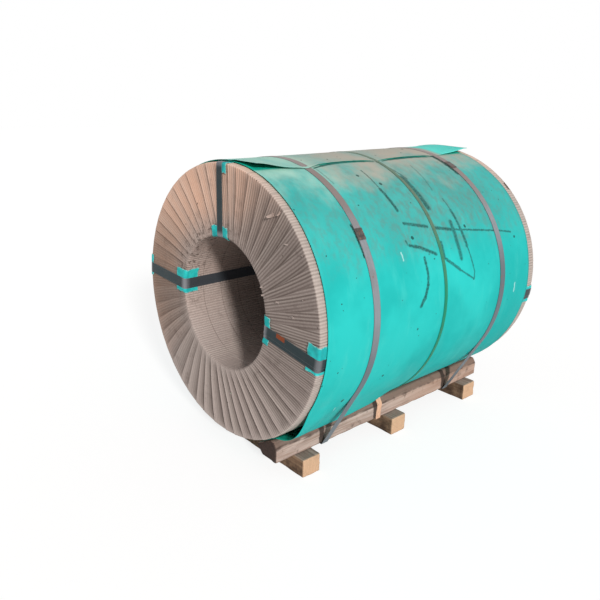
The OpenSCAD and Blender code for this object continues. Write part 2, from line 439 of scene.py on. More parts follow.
STROKE, given, made = new_group(
    "stroke", [("Point", VECTOR), ("From", VECTOR), ("To", VECTOR), ("Width", FLOAT)], [("Mask", FLOAT)])
stroke_run = vector_calc("SUBTRACT", given["To"], given["From"])
stroke_reach = vector_calc("SUBTRACT", given["Point"], given["From"])
stroke_along = calc("DIVIDE", vector_calc("DOT_PRODUCT", stroke_reach, stroke_run, "Value"),
                    vector_calc("DOT_PRODUCT", stroke_run, stroke_run, "Value"), clamp=True)
stroke_foot = add_node(STROKE, "VectorMath", {0: stroke_run, "Scale": stroke_along}, operation="SCALE")
stroke_off = vector_calc("DISTANCE", stroke_reach, stroke_foot, "Value")
feed(made["Mask"], spread(stroke_off, given["Width"], given["Width"] * STROKE_CORE))
print("groups", [group.name for group in (SPECKS, STREAKS, STROKE)])

# %% [markdown]
# ## The pleated paper
# Crepe paper is wound through the eye of the coil and round its rim. On the ends it lies in some fifty
# overlapping bands, which lean over as they go outwards, and each band is ribbed by fine parallel creases.
# The plain form is easily made by hand: a circle, extruded and scaled ring by ring along the section. The
# pleats are then pressed into it by formula, because no operator folds paper. They only ever go inwards,
# so that straps and pads still lie on top.

# %% Draw the paper's section
LIP_ROUND = 10 * MM
RIM_ROUND = 7 * MM
SLIP = 0.5 * MM
PAPER_STEPS = 2160
BORE_STEPS = 12
LIP_STEPS = 4
FACE_STEPS = 13
RIM_STEPS = 5
BARREL_DEPTHS = (22 * MM, 40 * MM, 80 * MM)


def paper_section():
    """Radius and depth behind the end of each ring, from the middle of the bore and back to it."""
    bore = [(BORE_R, depth) for depth in np.linspace(END_Y, LIP_ROUND, BORE_STEPS)]
    turn = np.linspace(0, math.pi / 2, LIP_STEPS + 1)[1:]
    lip = [(BORE_R + LIP_ROUND * (1 - math.cos(a)), LIP_ROUND * (1 - math.sin(a))) for a in turn]
    radii = np.linspace(BORE_R + LIP_ROUND, WRAP_R - RIM_ROUND, FACE_STEPS + 1)[1:]
    face = [(radius, 0.0) for radius in radii]
    turn = np.linspace(0, math.pi / 2, RIM_STEPS + 1)[1:]
    rim = [(WRAP_R - RIM_ROUND * (1 - math.sin(a)), RIM_ROUND * (1 - math.cos(a))) for a in turn]
    barrel = [(WRAP_R, depth) for depth in (*BARREL_DEPTHS, END_Y)]
    back = END_Y - COIL_END_Y - SLIP
    over_coil, in_bore = COIL_R + SLIP, COIL_BORE_R - SLIP
    inner = [(over_coil, END_Y), (over_coil, back), (in_bore, back), (in_bore, END_Y)]
    return bore + lip + face + rim + barrel + inner + [(BORE_R, END_Y)]


PAPER_SECTION = paper_section()
print("rings in the paper's section", len(PAPER_SECTION))

# %% [markdown]
# How far the bands lean, how deep they fold and how strongly they are ribbed changes round the coil. These
# small tables give that by the clock, and straight lines join their values. On the upper side a band's
# leading edge stands out, on the lower side its trailing one, as if the wrapping had changed hands.

# %% Describe the pleats
BANDS = 50
RIB_PITCH = 10.5 * MM
BORE_RIBS = 156
BORE_RIB_DEPTH_MM = 0.8
RIB_TONES = 997
CRUMPLE = 0.4 * MM
DEEPEST_FOLD = 6.5 * MM
DEEPEST_ON_CURVES = 3 * MM
WAVES = 6
CLOCK = (0, 35, 70, 95, 115, 160, 182, 200, 238, 252, 290, 325, 345, 360)
LEAN_DEGREES = (4, 7, 7, 8, 8, 6, 7, 8, 11, 13, 11, 9, 5, 4)
FOLD_DEPTH_MM = (1.0, 1.6, 2.4, 2.8, 3.4, 3.2, 1.6, 2.4, 3.2, 6.0, 6.4, 5.0, 1.8, 1.0)
TURNED_OVER = (0, 0, 0, 0, 0, 0, 0.6, 1, 1, 1, 1, 1, 0.6, 0)
# The next two rows set how strong the painted shadow line at each band's overlap is, and the painted shade
# over its lower side.
OVERLAP_SHADOW_DARK = (0.3, 0.8, 0.9, 1.1, 1.4, 1.2, 0.4, 0.4, 0.5, 0.9, 1.0, 0.9, 0.5, 0.3)
SIDE_SHADE_DARK = (0.15, 0.32, 0.5, 0.2, 0.12, 0.25, 0.6, 0.5, 0.55, 0.9, 0.9, 0.7, 0.4, 0.15)
RIB_DEPTH_MM = (1.5, 1.4, 1.0, 0.6, 0.35, 0.4, 0.6, 0.6, 0.4, 0.35, 0.5, 0.9, 1.4, 1.5)


def look(angle, values):
    """Value at an angle round the coil, from a table by the clock."""
    return np.interp(np.mod(angle, 360), CLOCK, values)


def ripple(rng, first, second, reach):
    """Smooth wandering values over two directions, from a few waves in chance directions."""
    total = np.zeros(np.broadcast(first, second).shape)
    for _ in range(WAVES):
        total += np.sin(first * rng.uniform(0.4, 1.6) + second * rng.uniform(0.4, 1.6) + rng.uniform(0, 6.28))
    return reach * total / WAVES


def smooth_step(value, low, high):
    """Goes softly from 0 at low to 1 at high."""
    share = np.clip((value - low) / (high - low), 0, 1)
    return share * share * (3 - 2 * share)


def pleats(column, angle, radius, rng):
    """Depth of the folds below the section, and the values that the finish reads."""
    in_bore = radius < BORE_R + LIP_ROUND / 2
    on_face = np.clip((radius - BORE_R) / LIP_ROUND, 0, 1) * np.clip((WRAP_R - radius) / RIM_ROUND, 0, 1)
    on_rim = smooth_step(radius, WRAP_R - RIM_ROUND, WRAP_R)
    middle = 0.15 + 0.85 * smooth_step(radius, BORE_R + 6 * MM, BORE_R + 55 * MM)
    middle *= np.clip((WRAP_R - radius) / (30 * MM), 0.2, 1)

    number = np.arange(-1, BANDS + 2)
    edges = (number + rng.uniform(-0.14, 0.14, BANDS)[number % BANDS]) * 360 / BANDS
    which = np.searchsorted(edges, column, side="right") - 1
    band = number[which] % BANDS
    width = edges[which + 1] - edges[which]
    share = (column - edges[which]) / width
    over = look(angle, TURNED_OVER)
    high = over * (1 - share) + (1 - over) * share
    strength = rng.uniform(0.75, 1.2, BANDS)[band]
    fold = look(angle, FOLD_DEPTH_MM) * MM * strength * (1 - high ** 2) * middle

    ribs_along = np.radians((share - 0.5) * width) * np.maximum(radius, BORE_R + LIP_ROUND) / RIB_PITCH
    ribs_along += rng.uniform(0, 1, BANDS)[band]
    bore_along = angle / 360 * BORE_RIBS + ripple(rng, np.radians(angle) * 9, 0, 0.7)
    rib_place = np.where(in_bore, bore_along, ribs_along)
    rib = 0.5 - 0.5 * np.cos(2 * math.pi * rib_place)
    rib_number = np.floor(rib_place).astype(int) + 31 * np.where(in_bore, 0, band)
    rib_tone = rng.uniform(0, 1, RIB_TONES)[rib_number % RIB_TONES]
    rib_deep = np.where(in_bore, BORE_RIB_DEPTH_MM, look(angle, RIB_DEPTH_MM) * (1 - 0.4 * on_rim))
    crumple = ripple(rng, angle * 1.7, radius / (12 * MM), CRUMPLE) + CRUMPLE
    depth = fold + rib_deep * MM * (0.65 + 0.6 * rib_tone) * rib + crumple * on_face

    # Painted shadow: a dark line where a band's raised edge overlaps the next. Painted shade: darker over the
    # band's lower side.
    edge_mm = high * np.radians(width) * radius / MM
    overlap_shadow = np.exp(-edge_mm / 4) * look(angle, OVERLAP_SHADOW_DARK) * strength * np.clip(middle, 0.3, 1) * ~in_bore
    shade = (1 - high) * look(angle, SIDE_SHADE_DARK) * middle * on_face
    tone = 0.35 * rng.uniform(0, 1, BANDS)[band] * ~in_bore + 0.4 * rib_tone
    # The bottoms of the ribs are darkened by painted shade and dirt.
    rib_dark = np.clip(np.where(in_bore, 0.5, rib_deep / 1.6), 0.12, 1)
    return depth, overlap_shadow, rib * (0.6 + 0.4 * rib_tone) * rib_dark, tone, shade


# %% [markdown]
# Both ends are made by the same function, each with its own chance pattern. The rings are extruded one by
# one, the last ring is merged with the first, and the normals are turned outwards before the pleats move
# the points. First every column of points is leaned over with the bands, so that the folds run along the
# mesh and stay sharp. A few small scraps, torn loose, are curled up from flat grids and joined on.

# %% Make the paper on both ends
SCRAP_T = 0.4 * MM
#         degrees up from the right, radius, length and width in mm, way it points from the radius
SCRAPS = (
    (14.6, 331, 17, 9, 150), (15.2, 449, 15, 8, 40), (7.0, 392, 22, 15, 100), (38.4, 455, 16, 8, 120),
    (31.4, 496, 15, 7, 20), (52.4, 470, 34, 15, 160), (50.5, 498, 22, 10, 200), (-6.5, 362, 12, 5, -80),
    (20.5, 262, 16, 8, 170), (27, 264, 12, 7, 185),
)


def plain_wrap(side):
    """Closed paper form of one half of the coil, front (-1) or back (1)."""
    start_clean()
    radius, depth = PAPER_SECTION[0]
    y = side * (END_Y - depth)
    bpy.ops.mesh.primitive_circle_add(vertices=PAPER_STEPS, radius=radius, fill_type="NOTHING",
                                      location=(0, y, AXIS_Z), rotation=(math.pi / 2, 0, 0))
    piece = bpy.context.object
    bpy.ops.object.transform_apply(location=True, rotation=True, scale=True)
    open_mesh()
    for next_radius, depth in PAPER_SECTION[1:]:
        next_y = side * (END_Y - depth)
        bpy.ops.mesh.extrude_region_move(TRANSFORM_OT_translate={"value": (0, next_y - y, 0)})
        grow = next_radius / radius
        bpy.ops.transform.resize(value=(grow, 1, grow), center_override=(0, next_y, AXIS_Z))
        radius, y = next_radius, next_y
    bpy.ops.mesh.select_all(action="SELECT")
    bpy.ops.mesh.remove_doubles(threshold=0.01 * MM)
    face_outwards()
    bpy.ops.object.shade_smooth()
    return piece


def outward(radius, depth):
    """How far outwards from the axis, and how far out of the end, the section faces at a point."""
    at_lip = np.where(radius < BORE_R + LIP_ROUND, (radius - BORE_R - LIP_ROUND) / LIP_ROUND, 0)
    at_rim = np.where(radius > WRAP_R - RIM_ROUND, (radius - WRAP_R + RIM_ROUND) / RIM_ROUND, 0)
    across = np.clip(at_lip + at_rim, -1, 1)
    return across, np.where(depth > RIM_ROUND, 0, np.sqrt(1 - across ** 2))


def press_pleats(piece, side, seed):
    """Presses the pleats into the paper and paints what its finish reads."""
    points = points_of(piece)
    rng = np.random.default_rng(seed)
    column = np.mod(np.degrees(np.arctan2(points[:, 2] - AXIS_Z, points[:, 0])), 360)
    radius = np.hypot(points[:, 0], points[:, 2] - AXIS_Z)
    depth = END_Y - side * points[:, 1]
    outer = np.clip((radius - BORE_R) / (WRAP_R - BORE_R), 0, 1)
    wander = ripple(rng, column / 6, radius / (60 * MM), 0.35) * np.sin(np.radians(column) / 2) ** 2
    angle = column + look(column, LEAN_DEGREES) * outer ** 0.65 + wander * outer * (1 - outer) * 4
    inner = (radius > COIL_BORE_R - 1.5 * SLIP) & (radius < COIL_R + 1.5 * SLIP) & (depth > 5 * MM)
    fold, overlap_shadow, rib, tone, shade = pleats(column, angle, radius, rng)
    fold = np.where(inner | (depth > END_Y - MM), 0, np.minimum(fold, DEEPEST_FOLD))
    curved = (radius > WRAP_R - RIM_ROUND) | (radius < BORE_R + LIP_ROUND)
    fold = np.where(curved, np.minimum(fold, DEEPEST_ON_CURVES), fold)
    across, out = outward(radius, depth)
    moved = radius - fold * across
    points[:, 1] = side * (END_Y - depth - fold * out)
    points[:, 0] = moved * np.cos(np.radians(angle))
    points[:, 2] = AXIS_Z + moved * np.sin(np.radians(angle))
    move_points(piece, points)
    for name, values in (("overlap_shadow", overlap_shadow), ("valley_shade_and_dirt", rib), ("tone", tone), ("shade", shade)):
        paint(piece, name, values)


def curl_scrap(side, degrees, radius, length, width, heading):
    """Small torn scrap of paper that curls up off the end."""
    piece, grid = flat_grid(8, 4)
    bend = 0.55 * length * MM
    curl = grid[:, 0] * length * MM / bend
    across = (grid[:, 1] - 0.5) * width * MM * (1 - 0.55 * grid[:, 0])
    at, way = math.radians(degrees), math.radians(degrees + heading)
    x = radius * MM * math.cos(at) + bend * np.sin(curl) * math.cos(way) - across * math.sin(way)
    z = radius * MM * math.sin(at) + bend * np.sin(curl) * math.sin(way) + across * math.cos(way)
    rise = bend * (1 - np.cos(curl)) * 0.7
    move_points(piece, np.stack([x, side * (END_Y - 1.5 * MM + rise), AXIS_Z + z], axis=1))
    apply_modifier(piece, "SOLIDIFY", thickness=SCRAP_T, offset=0)
    bpy.ops.object.shade_smooth()
    return piece


def make_paper(name, side, seed, material, scraps=()):
    """One end's paper with its pleats pressed in and its scraps joined on."""
    piece = plain_wrap(side)
    press_pleats(piece, side, seed)
    loose = [curl_scrap(side, *scrap) for scrap in scraps]
    start_clean()
    for part in loose + [piece]:
        part.select_set(True)
    bpy.context.view_layer.objects.active = piece
    if loose:
        bpy.ops.object.join()
    hand_over(piece, name, "crepe_paper", material, "paper_wrap")


# %% [markdown]
# The paper's finish is matt. Its colour is warm and light towards the upper left and greyer lower down.
# The values painted while pleating darken the paper: painted shadow lines at the overlaps of the bands,
# painted shade over their lower sides, and painted shade and dirt in the bottoms of the ribs. Painted shade
# also darkens the bore deeper in and the end lower down and on the left. Thin lines ring the bore where one
# turn of paper ends, painted dark as shadow on its lit left wall and pale as highlight on the right.

# %% Finish the paper
PAPER_WARM = colour(0.93, 0.56, 0.4)
PAPER_GREY = colour(0.58, 0.475, 0.44)
PAPER_PALE = colour(0.84, 0.74, 0.67)
# Dark colour for real dirt and stains on the paper, and also for painted shade and shadow.
PAPER_DIRT_AND_SHADE = colour(0.07, 0.045, 0.035)
BORE_LINE_PITCH = 88 * MM
#              middle and size of a hole in the front and a tear at the back, painted dark as the shade inside
#              them
TORN_PLACES = (((0.338, -0.625, 1.012), 14 * MM), ((0.36, 0.63, 0.97), 30 * MM))


def from_axis(point):
    """Way from the coil's axis to a point."""
    return stretch(point, 1, 0, 1, (0, 0, -AXIS_Z))


def off_axis(point):
    """Distance of a point from the coil's axis."""
    return vector_calc("LENGTH", from_axis(point), None, "Value")


def bore_lines(point, y, out):
    """Mask of thin rings in the bore, one where each turn of paper ends."""
    turn = (y + END_Y) / BORE_LINE_PITCH
    from_line = abs(calc("FRACT", turn) - 0.5)
    wobble = noise(point, 9, 2) * 0.02
    line = spread(from_line + wobble, 0.485, 0.5)
    inside = calc("LESS_THAN", out, BORE_R + 4 * MM)
    return line * inside * 0.4


def patch(point, middle, size):
    """Ragged mask round one place."""
    near = vector_calc("DISTANCE", point, middle, "Value")
    ragged = noise(point, 55, 4) * size
    return spread(near + ragged, size * 1.35, size * 1.05)


def paper_finish():
    """Matt ribbed crepe, warm above and grey below."""
    material, tree, shader = finish("pleated_crepe")
    point = place(tree)
    x, y, z = parts(point)
    out = off_axis(point)
    cloud = noise(point, 5, 4)
    upper_left = z - x * 0.9
    warmth = spread(upper_left + cloud * 0.5, 0.75, 1.4)
    warmth = warmth * spread(out, BORE_R, BORE_R + 0.13, 0.25, 1.0)
    base = blend(warmth, PAPER_GREY, PAPER_WARM)
    # Painted shade: the bore is darker deeper in, and more so towards its shaded right side.
    inside = spread(out, BORE_R + LIP_ROUND, BORE_R + LIP_ROUND / 2)
    deep = spread(abs(y), END_Y, END_Y - 0.35, 0.25, 0.6)
    deep = deep * spread(x, -0.08, 0.12, 1.0, 1.45)
    base = blend(inside * deep, base, PAPER_DIRT_AND_SHADE)
    base = blend(spread(painted(tree, "tone"), 0, 1, 0.0, 0.4), base, PAPER_PALE)
    # Painted shade: the end is darker lower down and on the left; the upper right is darkened a little too.
    height = z - x * 0.25
    dull = spread(height + cloud * 0.2, 1.2, 0.8, 0.0, 0.4)
    on_end = spread(out, BORE_R, BORE_R + LIP_ROUND)
    above_foot = spread(z, 0.15, 0.6, 0.2, 1.0)
    base = blend(dull * on_end * above_foot, base, PAPER_DIRT_AND_SHADE)
    left = spread(x, -0.2, -0.4) * spread(z, 0.95, 0.7, 0.0, 0.38)
    left = left * spread(z, 0.25, 0.55, 0.3, 1.0)
    right = spread(x, 0.05, 0.3) * spread(z, 0.75, 0.95, 0.0, 0.25)
    base = blend((left + right) * on_end, base, PAPER_DIRT_AND_SHADE)
    fibre = use(STREAKS, Vector=point, Scale=160.0, Detail=3.0)["Value"]
    base = blend(fibre * 0.16, base, PAPER_PALE)
    crushed = spread(out, BORE_R + 0.09, BORE_R + 0.02) * spread(upper_left, 0.6, 0.9)
    crushed = crushed * spread(y, 0.16 - END_Y, 0.04 - END_Y)
    crease = spread(noise(point, 55, 6, 0.72), 0.5, 0.62, 0.0, 0.7)
    base = blend(crushed * crease, base, PAPER_DIRT_AND_SHADE)
    base = blend(spread(out, WRAP_R - 6 * MM, WRAP_R - 1 * MM, 0.0, 0.3), base, PAPER_PALE)
    # Painted shade and dirt in the bottoms of the ribs.
    base = blend(painted(tree, "valley_shade_and_dirt") * 0.8, base, PAPER_DIRT_AND_SHADE)
    # Painted shade over the bands' lower sides and painted shadow lines at their overlaps.
    base = blend(painted(tree, "shade") * 0.95, base, PAPER_DIRT_AND_SHADE)
    base = blend(calc("MULTIPLY", painted(tree, "overlap_shadow"), 0.95, clamp=True), base, PAPER_DIRT_AND_SHADE)
    stain = spread(noise(point, 14, 5, 0.65), 0.55, 0.75, 0.0, 0.3)
    base = blend(stain, base, PAPER_DIRT_AND_SHADE)
    spots = use(SPECKS, Vector=point, Scale=60.0, Size=0.25, Cover=0.06)["Mask"]
    base = blend(spots * 0.6, base, PAPER_DIRT_AND_SHADE)
    # Painted shade inside a hole and a tear.
    for middle, size in TORN_PLACES:
        base = blend(patch(point, middle, size) * 0.9, base, PAPER_DIRT_AND_SHADE)
    # The rings are painted dark as shadow on the lit left wall and pale as highlight on the shaded right.
    line_colour = blend(spread(x, -0.12, 0.02), PAPER_DIRT_AND_SHADE, PAPER_PALE)
    dress(shader, base=blend(bore_lines(point, y, out), base, line_colour), roughness=0.9, specular=0.25,
          normal=relief(noise(point, 420, 2), 0.5 * MM, 0.5))
    return material


crepe = paper_finish()
make_paper("paper_front", -1, 11, crepe, SCRAPS)
make_paper("paper_back", 1, 23, crepe)

# %% [markdown]
# ## The cover sheet
# A turquoise plastic sheet is wound once round the barrel, with a lap on top. Its free edge has sprung
# away from the coil between the straps, both of its corners lift, and the front lower corner hangs slack.
# Along the front half it also sags over the right runner's edge before it turns in under the coil.
# It is one thin sheet, so it starts as a flat grid that is rolled round the coil by formula, which keeps
# its length along the roll true. Solidify then gives it its thickness.

# %% Roll the cover sheet
SHEET_T = 0.6 * MM
SHEET_R = node_radii("cover_sheet")[0] + SHEET_T / 2
SHEET_FRONT, SHEET_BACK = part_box("cover_sheet")[0].y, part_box("cover_sheet")[1].y
SEAM_ANGLE = 73
LAP_DEGREES = 42
FRONT_LIFT = 86
BACK_LIFT = 87
BACK_OVERHANG = 38 * MM
FLARE_FROM = -30
FLARE_TO = -57
FLARE_RISE = 25 * MM
FLARE_LENGTH = 205 * MM
RUNNER_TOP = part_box("runner_right")[1]
WANE_W, WANE_H = 14 * MM, 22 * MM
SAG_CLEAR = 2.5 * MM
SAG_FROM = -38
SAG_AT_MM = (-595, -515, -250, -120, -40)
SAG_SHARE = (0, 1, 1, 1, 0)
SAG_DROP_MM = (0, 13, 13, 7, 0)
SAG_STOPS = (0, 0.5, 0.8, 1)
SHEET_SEED = 5
SHEET_WAVE = 1.6 * MM
WAVY_ABOVE = (-0.7, -0.3)
EDGE_WAVE, EDGE_REACH = 1.2 * MM, 25 * MM
EDGE_HELD_AT = (72, 70.5, 72.2, 72.2, 73)
EDGE_ARCH_FRONT, EDGE_ARCH_BACK = 3.4, 1.9
LAP_RISES = (346, 359)
LOOSE_FROM = 340
OVERHANG_GROWS = (335, 395)
SPRING_DEGREES = 3
SPRING_RISE, SPRING_MOST = 3.2 * MM, 4 * MM
BAND_FRONT_Y = sum(corner.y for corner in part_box("steel_band_front")) / 2
BAND_BACK_Y = sum(corner.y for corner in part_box("steel_band_back")) / 2
BAND_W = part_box("steel_band_front")[1].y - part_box("steel_band_front")[0].y
TIGHT_PLACES = (BAND_FRONT_Y, 0.0, BAND_BACK_Y)


def slackness(y, reach=55 * MM):
    """How free the sheet is of the straps round it: 0 under one, 1 between two."""
    free = np.ones_like(y)
    for place_y in TIGHT_PLACES:
        free *= 1 - np.exp(-((y - place_y) / reach) ** 2)
    return free


def free_edge(y):
    """Angle of the lap's free edge, which arches up between the straps that hold it."""
    held = np.interp(y, (SHEET_FRONT, BAND_FRONT_Y, 0, BAND_BACK_Y, SHEET_BACK), EDGE_HELD_AT)
    between = np.abs(np.sin(math.pi * y / BAND_BACK_Y)) * (np.abs(y) < BAND_BACK_Y)
    return held + between * np.where(y < 0, EDGE_ARCH_FRONT, EDGE_ARCH_BACK)


def along_runs(at, stops, values):
    """Values along straight runs, where each stop has its own value."""
    total = values[0]
    for low, high, start, stop in zip(stops, stops[1:], values, values[1:]):
        total = total + (stop - start) * np.clip((at - low) / (high - low), 0, 1)
    return total


def sagged(angle, y):
    """How far the sheet sags off its roll in x and z, and the share of the sag there."""
    share = smooth_step(np.interp(y / MM, SAG_AT_MM, SAG_SHARE), 0, 1)
    drop = np.interp(y / MM, SAG_AT_MM, SAG_DROP_MM) * MM
    over_z = RUNNER_TOP.z + SAG_CLEAR - AXIS_Z
    end = math.asin(over_z / SHEET_R)
    leave = math.radians(SAG_FROM)
    edge_x = RUNNER_TOP.x - WANE_W
    hung_x = edge_x + drop * WANE_W / WANE_H + SAG_CLEAR
    run_x = (SHEET_R * math.cos(leave), hung_x, edge_x, SHEET_R * math.cos(end))
    run_z = (SHEET_R * math.sin(leave), RUNNER_TOP.z - drop - AXIS_Z, over_z, over_z)
    at = np.clip((leave - np.radians(angle)) / (leave - end), 0, 1)
    x, z = 0.0, 0.0
    for nudge in (-0.05, 0.0, 0.05):
        near = np.clip(at + nudge * np.sin(math.pi * at), 0, 1)
        x = x + along_runs(near, SAG_STOPS, run_x) / 3
        z = z + along_runs(near, SAG_STOPS, run_z) / 3
    grow = np.maximum(SHEET_R / np.hypot(x, z), 1)
    inside = (at > 0) & (at < 1)
    x = np.where(inside, (x * grow - SHEET_R * np.cos(np.radians(angle))) * share, 0)
    z = np.where(inside, (z * grow - SHEET_R * np.sin(np.radians(angle))) * share, 0)
    return x, z, share


def roll_sheet(material):
    """The cover sheet with its lap, lifted corners and slack corner."""
    piece, grid = flat_grid(402, 88)
    wound = 360 + LAP_DEGREES
    turned = grid[:, 0] * wound
    y = SHEET_FRONT + grid[:, 1] * (SHEET_BACK - SHEET_FRONT)
    free = slackness(y)
    angle = SEAM_ANGLE + LAP_DEGREES - turned
    on_top = smooth_step(turned, *LAP_RISES)
    end = free_edge(y) - 360
    lapped = end + (wound - turned) / LAP_DEGREES * (SEAM_ANGLE + LAP_DEGREES - 360 - end)
    angle = np.where(turned > 360, lapped, angle)
    rng = np.random.default_rng(SHEET_SEED)
    upper = smooth_step(np.sin(np.radians(angle)), *WAVY_ABOVE)
    back = smooth_step(y, BAND_BACK_Y + BAND_W, SHEET_BACK)
    y = y + BACK_OVERHANG * back * smooth_step(turned, *OVERHANG_GROWS)
    wave = ripple(rng, angle / 9, y / (70 * MM), SHEET_WAVE) * free * upper
    edge = np.exp(-(y - SHEET_FRONT) / EDGE_REACH) + np.exp(-(SHEET_BACK - y) / EDGE_REACH)
    wave += edge * (1 + ripple(rng, angle / 5, y, 1)) * EDGE_WAVE * upper
    wave *= smooth_step(turned, LAP_DEGREES, LAP_DEGREES + 8)
    radius = SHEET_R + on_top * (SHEET_T + 0.15 * MM) + np.maximum(wave, -0.1 * MM)
    sag_x, sag_z, sag_share = sagged(angle, y)
    flare_to = FLARE_TO + 9 * sag_share
    flare = np.clip((FLARE_FROM - angle) / (FLARE_FROM - flare_to), 0, 1)
    flare_share = smooth_step(-y, -SHEET_FRONT - FLARE_LENGTH, -SHEET_FRONT)
    radius += FLARE_RISE * np.sin(math.pi * flare ** 1.35) * flare_share
    front = smooth_step(-y, -BAND_FRONT_Y + BAND_W, -SHEET_FRONT)
    lift = SEAM_ANGLE - 360 + front * (FRONT_LIFT - SEAM_ANGLE) + back * (BACK_LIFT - SEAM_ANGLE)
    lift += SPRING_DEGREES * (1 - back)
    loose = turned > LOOSE_FROM
    off = np.where(loose, np.radians(np.maximum(lift - angle, 0)), 0)
    held = np.radians(np.where(off > 0, lift, angle))
    past = off * radius
    sprung = SPRING_RISE * free * (1 - back) * (off / math.radians(SPRING_DEGREES)) ** 2
    sprung = np.minimum(sprung, SPRING_MOST)
    x = radius * np.cos(held) + past * np.sin(held) + sprung * np.cos(held)
    z = radius * np.sin(held) - past * np.cos(held) + sprung * np.sin(held)
    move_points(piece, np.stack([x + sag_x, y, AXIS_Z + z + sag_z], axis=1))
    flat_map = piece.data.uv_layers.active
    corners = np.empty(len(piece.data.loops), dtype=np.int32)
    piece.data.loops.foreach_get("vertex_index", corners)
    flat = np.stack([np.radians(angle) * SHEET_R, y], axis=1)[corners]
    flat_map.data.foreach_set("uv", flat.astype(np.float32).ravel())
    open_mesh()
    face_outwards()
    apply_modifier(piece, "SOLIDIFY", thickness=SHEET_T, offset=0)
    bpy.ops.object.shade_smooth()
    hand_over(piece, "turquoise_cover", "turquoise_sheet", material, "cover_sheet")


# %% [markdown]
# The sheet's finish carries the coil's story. Dust has settled on its upper side, chains and tools have
# left dark scuffs, and small spots of dirt lie all over. The scuffs are strokes between points given by
# an angle round the coil and a place along it, on the sheet's own flat map, so they bend with the sheet.
# A few of these strokes are painted shadows beside the bands, painted shade lines the lap's free edge,
# the lap's lifted back corner is painted brighter as painted light, and short pale glints are painted on
# dents.
# The inner side, which shows where a corner lifts, has stayed clean and is a deeper green.

# %% List the scuffs on the sheet
#          width in mm, darkness, points as degrees up from the right and millimetres along the axis
SCUFFS_AND_BAND_SHADOWS = (
    (5, 0.8, ((36, -145), (33, -30))),
    (5, 0.85, ((32, 5), (30, 95))),
    (3, 0.75, ((30, 95), (25, 405), (23.5, 475))),
    (3, 0.7, ((29, -172), (27.5, -168))),
    (5, 0.85, ((27, -160), (25.5, -110), (21.5, -30))),
    (5, 0.85, ((21, -100), (14, -96), (10.5, -102))),
    (6, 0.9, ((10.5, -102), (6, -122), (3, -145))),
    (5, 0.8, ((25.5, 15), (19, 14), (13, 95))),
    (3, 0.75, ((13, 95), (7.5, 180), (11, 184), (22, 162))),
    (6, 0.8, ((22, 162), (38, 147))),
    (3, 0.6, ((38, 147), (44, 140))),
    (8, 0.75, ((33, 112), (25, 108), (17.5, 112))),
    (4, 0.65, ((71, -5), (57, 33))),
    # painted shadow beside the green band
    (10, 0.85, ((58, 16), (41, 27))),
    (3, 0.7, ((65.5, -148), (53, -153))),
    (6, 0.9, ((53, -153), (42, -143))),
    (3, 0.4, ((69.5, -345), (59, -345))),
    (3, 0.4, ((65.5, 140), (49, 116))),
    # the next two are painted shadows along the steel bands' edges beside the seals
    (4, 1.0, ((39, -398), (34, -397), (26.5, -394))),
    (8, 1.0, ((72, 357), (64, 356), (57, 359))),
)
#        points of short pale glints painted on small dents, given in the same way
NICK_GLINTS = (((25, -214), (22, -213)), ((0, 478), (-4, 478)), ((-36, -455), (-37.5, -455)))


def flat_point(degrees, along):
    """Place on the sheet's flat map of an angle and a distance along the axis."""
    return (math.radians(degrees) * SHEET_R, along * MM, 0)


def strokes(point, width, points):
    """Mask of a line of strokes through some points."""
    mask = 0.0
    for start, stop in zip(points, points[1:]):
        stroke = use(STROKE, Point=point, From=flat_point(*start), To=flat_point(*stop), Width=width * MM)
        mask = calc("MAXIMUM", mask, stroke["Mask"])
    return mask


print("scuffs", len(SCUFFS_AND_BAND_SHADOWS), "nicks", len(NICK_GLINTS))

# %% Finish the sheet
TURQUOISE = colour(0.03, 0.62, 0.585)
TURQUOISE_DEEP = colour(0.018, 0.5, 0.475)
TURQUOISE_PALE = colour(0.12, 0.72, 0.65)
GRIME = colour(0.15, 0.22, 0.195)
FLAP_PAINTED_LIGHT = colour(0.19, 0.97, 0.84)
DUST = colour(0.52, 0.45, 0.38)
DUST_THIN = colour(0.47, 0.74, 0.63)
INNER_GREEN = colour(0.006, 0.42, 0.29)
SCUFF_AND_SHADOW_DARK = colour(0.02, 0.06, 0.052)
SHADE_GREEN = colour(0.006, 0.1, 0.08)
TURQUOISE_BACK = colour(0.015, 0.4, 0.38)
NICK_GLINT_PALE = colour(0.5, 0.8, 0.78)
SCUFF_SHAKE = (7 * MM, 7 * MM, 0)
SCUFF_WIDER = 1.8
SHADOW_WIDTHS_MM = (6, 10, 13, 13, 12, 10, 6)
NICK_GLINT_WIDTH_MM = 5


